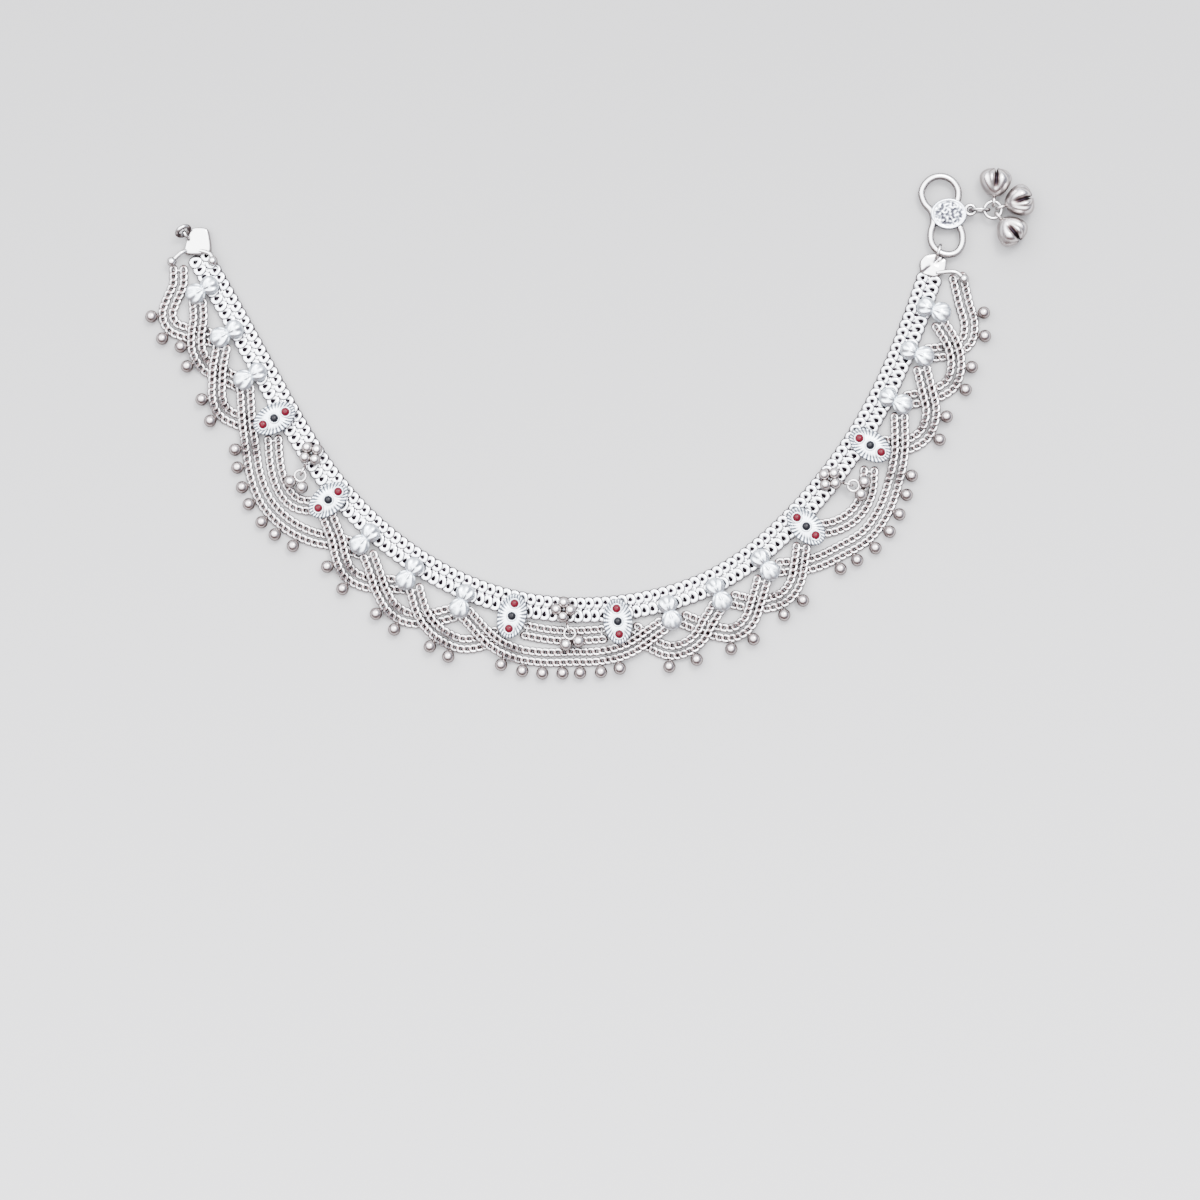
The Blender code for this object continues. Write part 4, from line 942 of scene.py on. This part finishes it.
def end_cap(node, share, facing, plate, bar, ball_ends, eye_level, crease_depth):
    """Plate with its eye and bar; returns the middle of the eye and the direction ahead."""
    point, ahead, outward = (Vector((*flat, 0.0)) for flat in band_frame(share))
    ahead = ahead * facing
    outline = np.array(plate) * MM
    for cut in CORNER_CUTS:
        following = np.roll(outline, -1, axis=0)
        side = (following - outline) * cut
        outline = np.stack([outline + side, following - side], 1).reshape(-1, 2)
    middle = outline.mean(axis=0)

    def spot(row, corner):
        share, level = row
        x, y = middle + (corner - middle) * share
        height = CAP_TOP * level
        if level > CAP_FLAT:
            off_crease = abs(y - middle[1] - (x - middle[0]) * CREASE_SLANT) / CREASE_HALF_WIDTH
            height -= crease_depth * max(1 - off_crease, 0.0)
        # Painted shade: the sides are darker than the flat top
        return point + ahead * x + outward * y + UP * height, 0.05 if level > CAP_FLAT else 0.55

    cap = Casting()
    cap.shape(CAP_PROFILE, outline, spot)
    centre = point + ahead * CAP_EYE_AHEAD + UP * eye_level
    cap.ring(centre, outward, CAP_EYE_RADIUS, CAP_EYE_WIRE)
    wire = []
    for place in np.linspace(0, 1, 18):
        along, out, rise = smooth_rows(bar, place) * MM
        wire.append(point + ahead * along + outward * out + UP * (BAR_LEVEL + rise))
    cap.wire(wire, BAR_WIRE)
    for end in ball_ends:
        cap.ball(wire[end], BAR_BALL)
    cap.piece(node + "_plate", node, [SILVER["plain"]], slot="silver_polished")
    return centre, ahead


left_eye, left_ahead = end_cap("left_end_cap", 0.0, -1, LEFT_PLATE, LEFT_BAR, (0, -1), 1.85 * MM, 0.0)
right_eye, _ = end_cap("right_end_cap", 1.0, 1, RIGHT_PLATE, RIGHT_BAR, (-1,), HOOK_LEVEL, CREASE_DEPTH)
print("eyes at", [[round(c / MM, 1) for c in eye] for eye in (left_eye, right_eye)], "mm")

# %% [markdown]
# ## Rings
# The start ring leans up out of the left eye, the jump ring stands in the disc's lug, and the bell
# ring lies flat and carries the bells. Round wire rings need only the castings' own ring.

# %% Start, jump and bell rings
START_RING_RADIUS, START_RING_WIRE, START_RING_LEAN = 1.5 * MM, 0.5 * MM, 62.0
RING_WIRE = 0.35 * MM
JUMP_RADIUS = 2.1 * MM
BELL_RING_RADIUS = 1.9 * MM
# The bend of the hook that lies in the eye, from the middle of its disc
HOOK_SEAT = Vector((-2.3, -8.4, 0.0)) * MM
DISC_HALF_LENGTH = 4.1 * MM
DISC_HALF_WIDTH = 3.5 * MM
# The lug beside the disc: its ring, and how deep it sits in the disc's edge
LUG_RADIUS, LUG_WIRE, LUG_DEPTH = 1.05 * MM, 0.4 * MM, 0.3 * MM


def loose_ring(node, centre, axis, radius, wire=RING_WIRE):
    """Ring of plain wire, as a piece of its own."""
    casting = Casting(side_shade=0.9)
    casting.ring(centre, axis, radius, wire)
    casting.piece(node + "_wire", node, [SILVER["plain"]], slot="silver_polished")


lean = math.radians(START_RING_LEAN)
slope = left_ahead * math.cos(lean) + UP * math.sin(lean)
loose_ring("start_ring", left_eye + slope * START_RING_RADIUS, slope.cross(left_ahead.cross(UP)),
           START_RING_RADIUS, START_RING_WIRE)
disc_centre = Vector((right_eye[0], right_eye[1], HOOK_LEVEL)) - HOOK_SEAT
lug = disc_centre + Vector((DISC_HALF_LENGTH + LUG_RADIUS - LUG_DEPTH, 0.9 * MM, 0.4 * MM))
loose_ring("jump_ring", lug + Vector((JUMP_RADIUS, 0, 0)), (0, 1, 0), JUMP_RADIUS)
bell_centre = lug + Vector((2 * JUMP_RADIUS - 2 * RING_WIRE - 0.3 * MM + BELL_RING_RADIUS, 0.0, 0.0))
loose_ring("bell_ring", bell_centre, UP, BELL_RING_RADIUS)
print("bell ring at", [round(c / MM, 1) for c in bell_centre], "mm")

# %% [markdown]
# ## The S-hook
# One round wire bends into a lower loop through the cap's eye and an upper ring that the other end of
# the anklet hooks into. An oval disc hides the crossing. Its field is hammered: many small dents that
# a noise field sets, with a smooth bright rim round them.

# %% Bend the hook
# Route of the wire from the middle of the disc, in mm
HOOK_ROUTE = (
    (2.4, -2.7), (3.1, -4.6), (3.0, -6.9), (1.8, -8.6), (-0.2, -9.1), (-2.3, -8.4), (-3.8, -6.6),
    (-4.0, -4.2), (-3.4, -1.8), (-3.9, 0.6), (-5.4, 2.4), (-6.1, 4.8), (-5.1, 7.0), (-3.2, 8.3),
    (-1.0, 8.4), (0.9, 7.4), (2.1, 5.5), (2.1, 3.4), (1.2, 1.6),
)
HOOK_WIRE = 0.75 * MM
DISC_HEIGHT = 0.9 * MM
# Rows of the disc from its edge in: share of its size, share of its height
DISC_PROFILE = (
    (0.95, 0.0), (1.0, 0.12), (1.0, 0.62), (0.98, 0.84), (0.94, 0.96), (0.89, 1.0), (0.85, 0.93), (0.81, 0.86),
    (0.76, 0.85), (0.71, 0.85), (0.66, 0.86), (0.61, 0.86), (0.56, 0.86), (0.51, 0.87), (0.46, 0.87),
    (0.41, 0.87), (0.36, 0.88), (0.30, 0.88), (0.24, 0.88), (0.18, 0.88), (0.11, 0.88),
)
# The hammered field: share of the disc, and how fine and deep its dents are
FIELD_SHARE, DENT_SCALE, DENT_DEPTH = 0.8, 1700.0, 0.30 * MM


def disc_spot(row, turn):
    """Place, and painted shade and tarnish, of one spot of the disc."""
    share, height = row
    x, y = DISC_HALF_LENGTH * share * math.cos(turn), DISC_HALF_WIDTH * share * math.sin(turn)
    dent = noise.noise(Vector((x, y, 0.0)) * DENT_SCALE) if share < FIELD_SHARE else 0.0
    place = disc_centre + Vector((x, y, DISC_HEIGHT * height + DENT_DEPTH * dent))
    # The field is darker than the rim's top; its dents are painted darker still, as shade, and so are the rim's
    # sides
    return place, 0.52 - 1.6 * dent if share < FIELD_SHARE else (0.5 if height < 0.7 else 0.05)


hook = Casting(side_shade=0.9)
wire = [disc_centre + Vector((*smooth_rows(HOOK_ROUTE, place), 0.0)) * MM for place in np.linspace(0, 1, 110)]
hook.wire(wire, HOOK_WIRE, sides=20)
hook.shape(DISC_PROFILE, circle(72), disc_spot, 0.85, finish=1)
hook.ring(lug, UP, LUG_RADIUS, LUG_WIRE)
hook.piece("s_hook_wire", "s_hook", [SILVER["plain"], SILVER["disc"]], slot="silver_polished")
print("hook wire", round(sum((b - a).length for a, b in zip(wire[:-1], wire[1:])) / MM, 1), "mm long")

# %% [markdown]
# ## Bells
# The bells are pressed from thin sheet like closed buds: a round crown, then two petals that meet in a
# dark slit, with creases that curl round them. The wall is one closed grid, out along the outside and
# back along the inside. The slit is a deep valley in it and a notch in the mouth. The slit, the creases
# and the inside are painted darker, as shade. Cutting a slit out of a turned bell would leave it hard and
# straight, while pressed petals roll inward at their edges.

# %% Press the bells
BELL_LENGTH = 6.1 * MM
BELL_RADIUS = 3.3 * MM
BELL_BELLY = 0.7
BELL_WIDENING = 1.1
BELL_EYE = 1.05 * MM
BELL_START = 0.15 * MM
# The slit: how wide its valley and its notch in the mouth are, in radians, and how deep, as shares
VALLEY_WIDTH, VALLEY_DEPTH = 0.20, 0.40
NOTCH_WIDTH, NOTCH_DEPTH = 0.24, 0.16
CREASE_SHARE = 0.11
FLOOR_GAP = 0.2 * MM
# Where each bell points on its ring, in degrees, and which way its creases curl
BELLS = ((86.0, 1.0), (18.0, -1.0), (-50.0, 1.0))
# Profile of the wall from crown to mouth and back inside: share of the length, of the radius, painted shade and
# tarnish (full on the inside, as painted shade)
BELL_PROFILE = (
    (0.0, 0.10, 0.3), (0.0, 0.28, 0.3), (0.04, 0.42, 0.15), (0.11, 0.57, 0.0), (0.20, 0.70, 0.0), (0.30, 0.82, 0.0),
    (0.40, 0.90, 0.0), (0.50, 0.96, 0.0), (0.60, 0.99, 0.0), (0.68, 1.0, 0.0), (0.76, 0.97, 0.0), (0.84, 0.90, 0.05),
    (0.91, 0.79, 0.1), (0.97, 0.63, 0.15), (1.0, 0.48, 0.2), (1.015, 0.34, 0.3), (1.02, 0.22, 0.45),
    (0.99, 0.17, 0.9), (0.90, 0.58, 1.0), (0.68, 0.84, 1.0), (0.45, 0.76, 1.0), (0.22, 0.46, 1.0),
)


def bell(node, degrees, curl):
    """Bell on the bell ring, lying with its belly just above the ground."""
    angle = math.radians(degrees)
    outward = Vector((math.cos(angle), math.sin(angle), 0.0))
    crown = bell_centre + outward * (BELL_RING_RADIUS + BELL_EYE)
    tilt = math.asin((BELL_RADIUS + FLOOR_GAP - crown[2]) / (BELL_LENGTH * BELL_BELLY))
    ahead = outward * math.cos(tilt) + UP * math.sin(tilt)
    across = ahead.cross(UP).normalized()
    upward = across.cross(ahead).normalized()

    def spot(row, turn):
        along, radius, shade_tarnish_value = row
        from_slit = abs((turn + math.pi / 2) % math.pi - math.pi / 2)
        valley = math.exp(-(from_slit / VALLEY_WIDTH) ** 2) * min(max((along - 0.25) / 0.3, 0.0), 1.0)
        notch = math.exp(-(from_slit / NOTCH_WIDTH) ** 2) * along ** 3
        crease = max(math.cos(turn * 4 + along * 3.0 * curl), 0.0) ** 6 * min(along * 2, 1.0)
        reach = BELL_RADIUS * radius * (1 - VALLEY_DEPTH * valley - CREASE_SHARE * crease)
        length = BELL_START + BELL_LENGTH * along * (1 - NOTCH_DEPTH * notch)
        place = (crown + ahead * length + upward * reach * math.cos(turn)
                 + across * reach * BELL_WIDENING * math.sin(turn))
        # Painted shade: darker in the slit and in the creases
        return place, shade_tarnish_value + 1.1 * valley + 0.42 * crease

    casting = Casting(side_shade=0.52)
    casting.shape(BELL_PROFILE, circle(72), spot)
    casting.ring(bell_centre + outward * BELL_RING_RADIUS, outward.cross(UP), BELL_EYE, RING_WIRE, 24, 10)
    casting.piece(node + "_petals", node, [SILVER["bells"]])


for number, (degrees, curl) in enumerate(BELLS, start=1):
    bell(f"bell_{number}", degrees, curl)
print("bells:", len(BELLS))

# %% [markdown]
# ## Check and finish
# Every dressed piece has to stay where its solid is. Their boxes are compared, and each piece whose box drifts too
# far from its solid's is printed.

# %% Measure
WIDEST_DRIFT = 0.6 * MM
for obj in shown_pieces():
    if "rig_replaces" in obj:
        node = obj["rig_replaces"][0]
        low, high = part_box(node)
        corners = np.array([v.co for v in obj.data.vertices])
        drift = max(max(abs(corners.min(0) - np.array(low))), max(abs(corners.max(0) - np.array(high))))
        if drift > WIDEST_DRIFT:
            print(f"{node}: box differs by {drift / MM:.2f} mm")
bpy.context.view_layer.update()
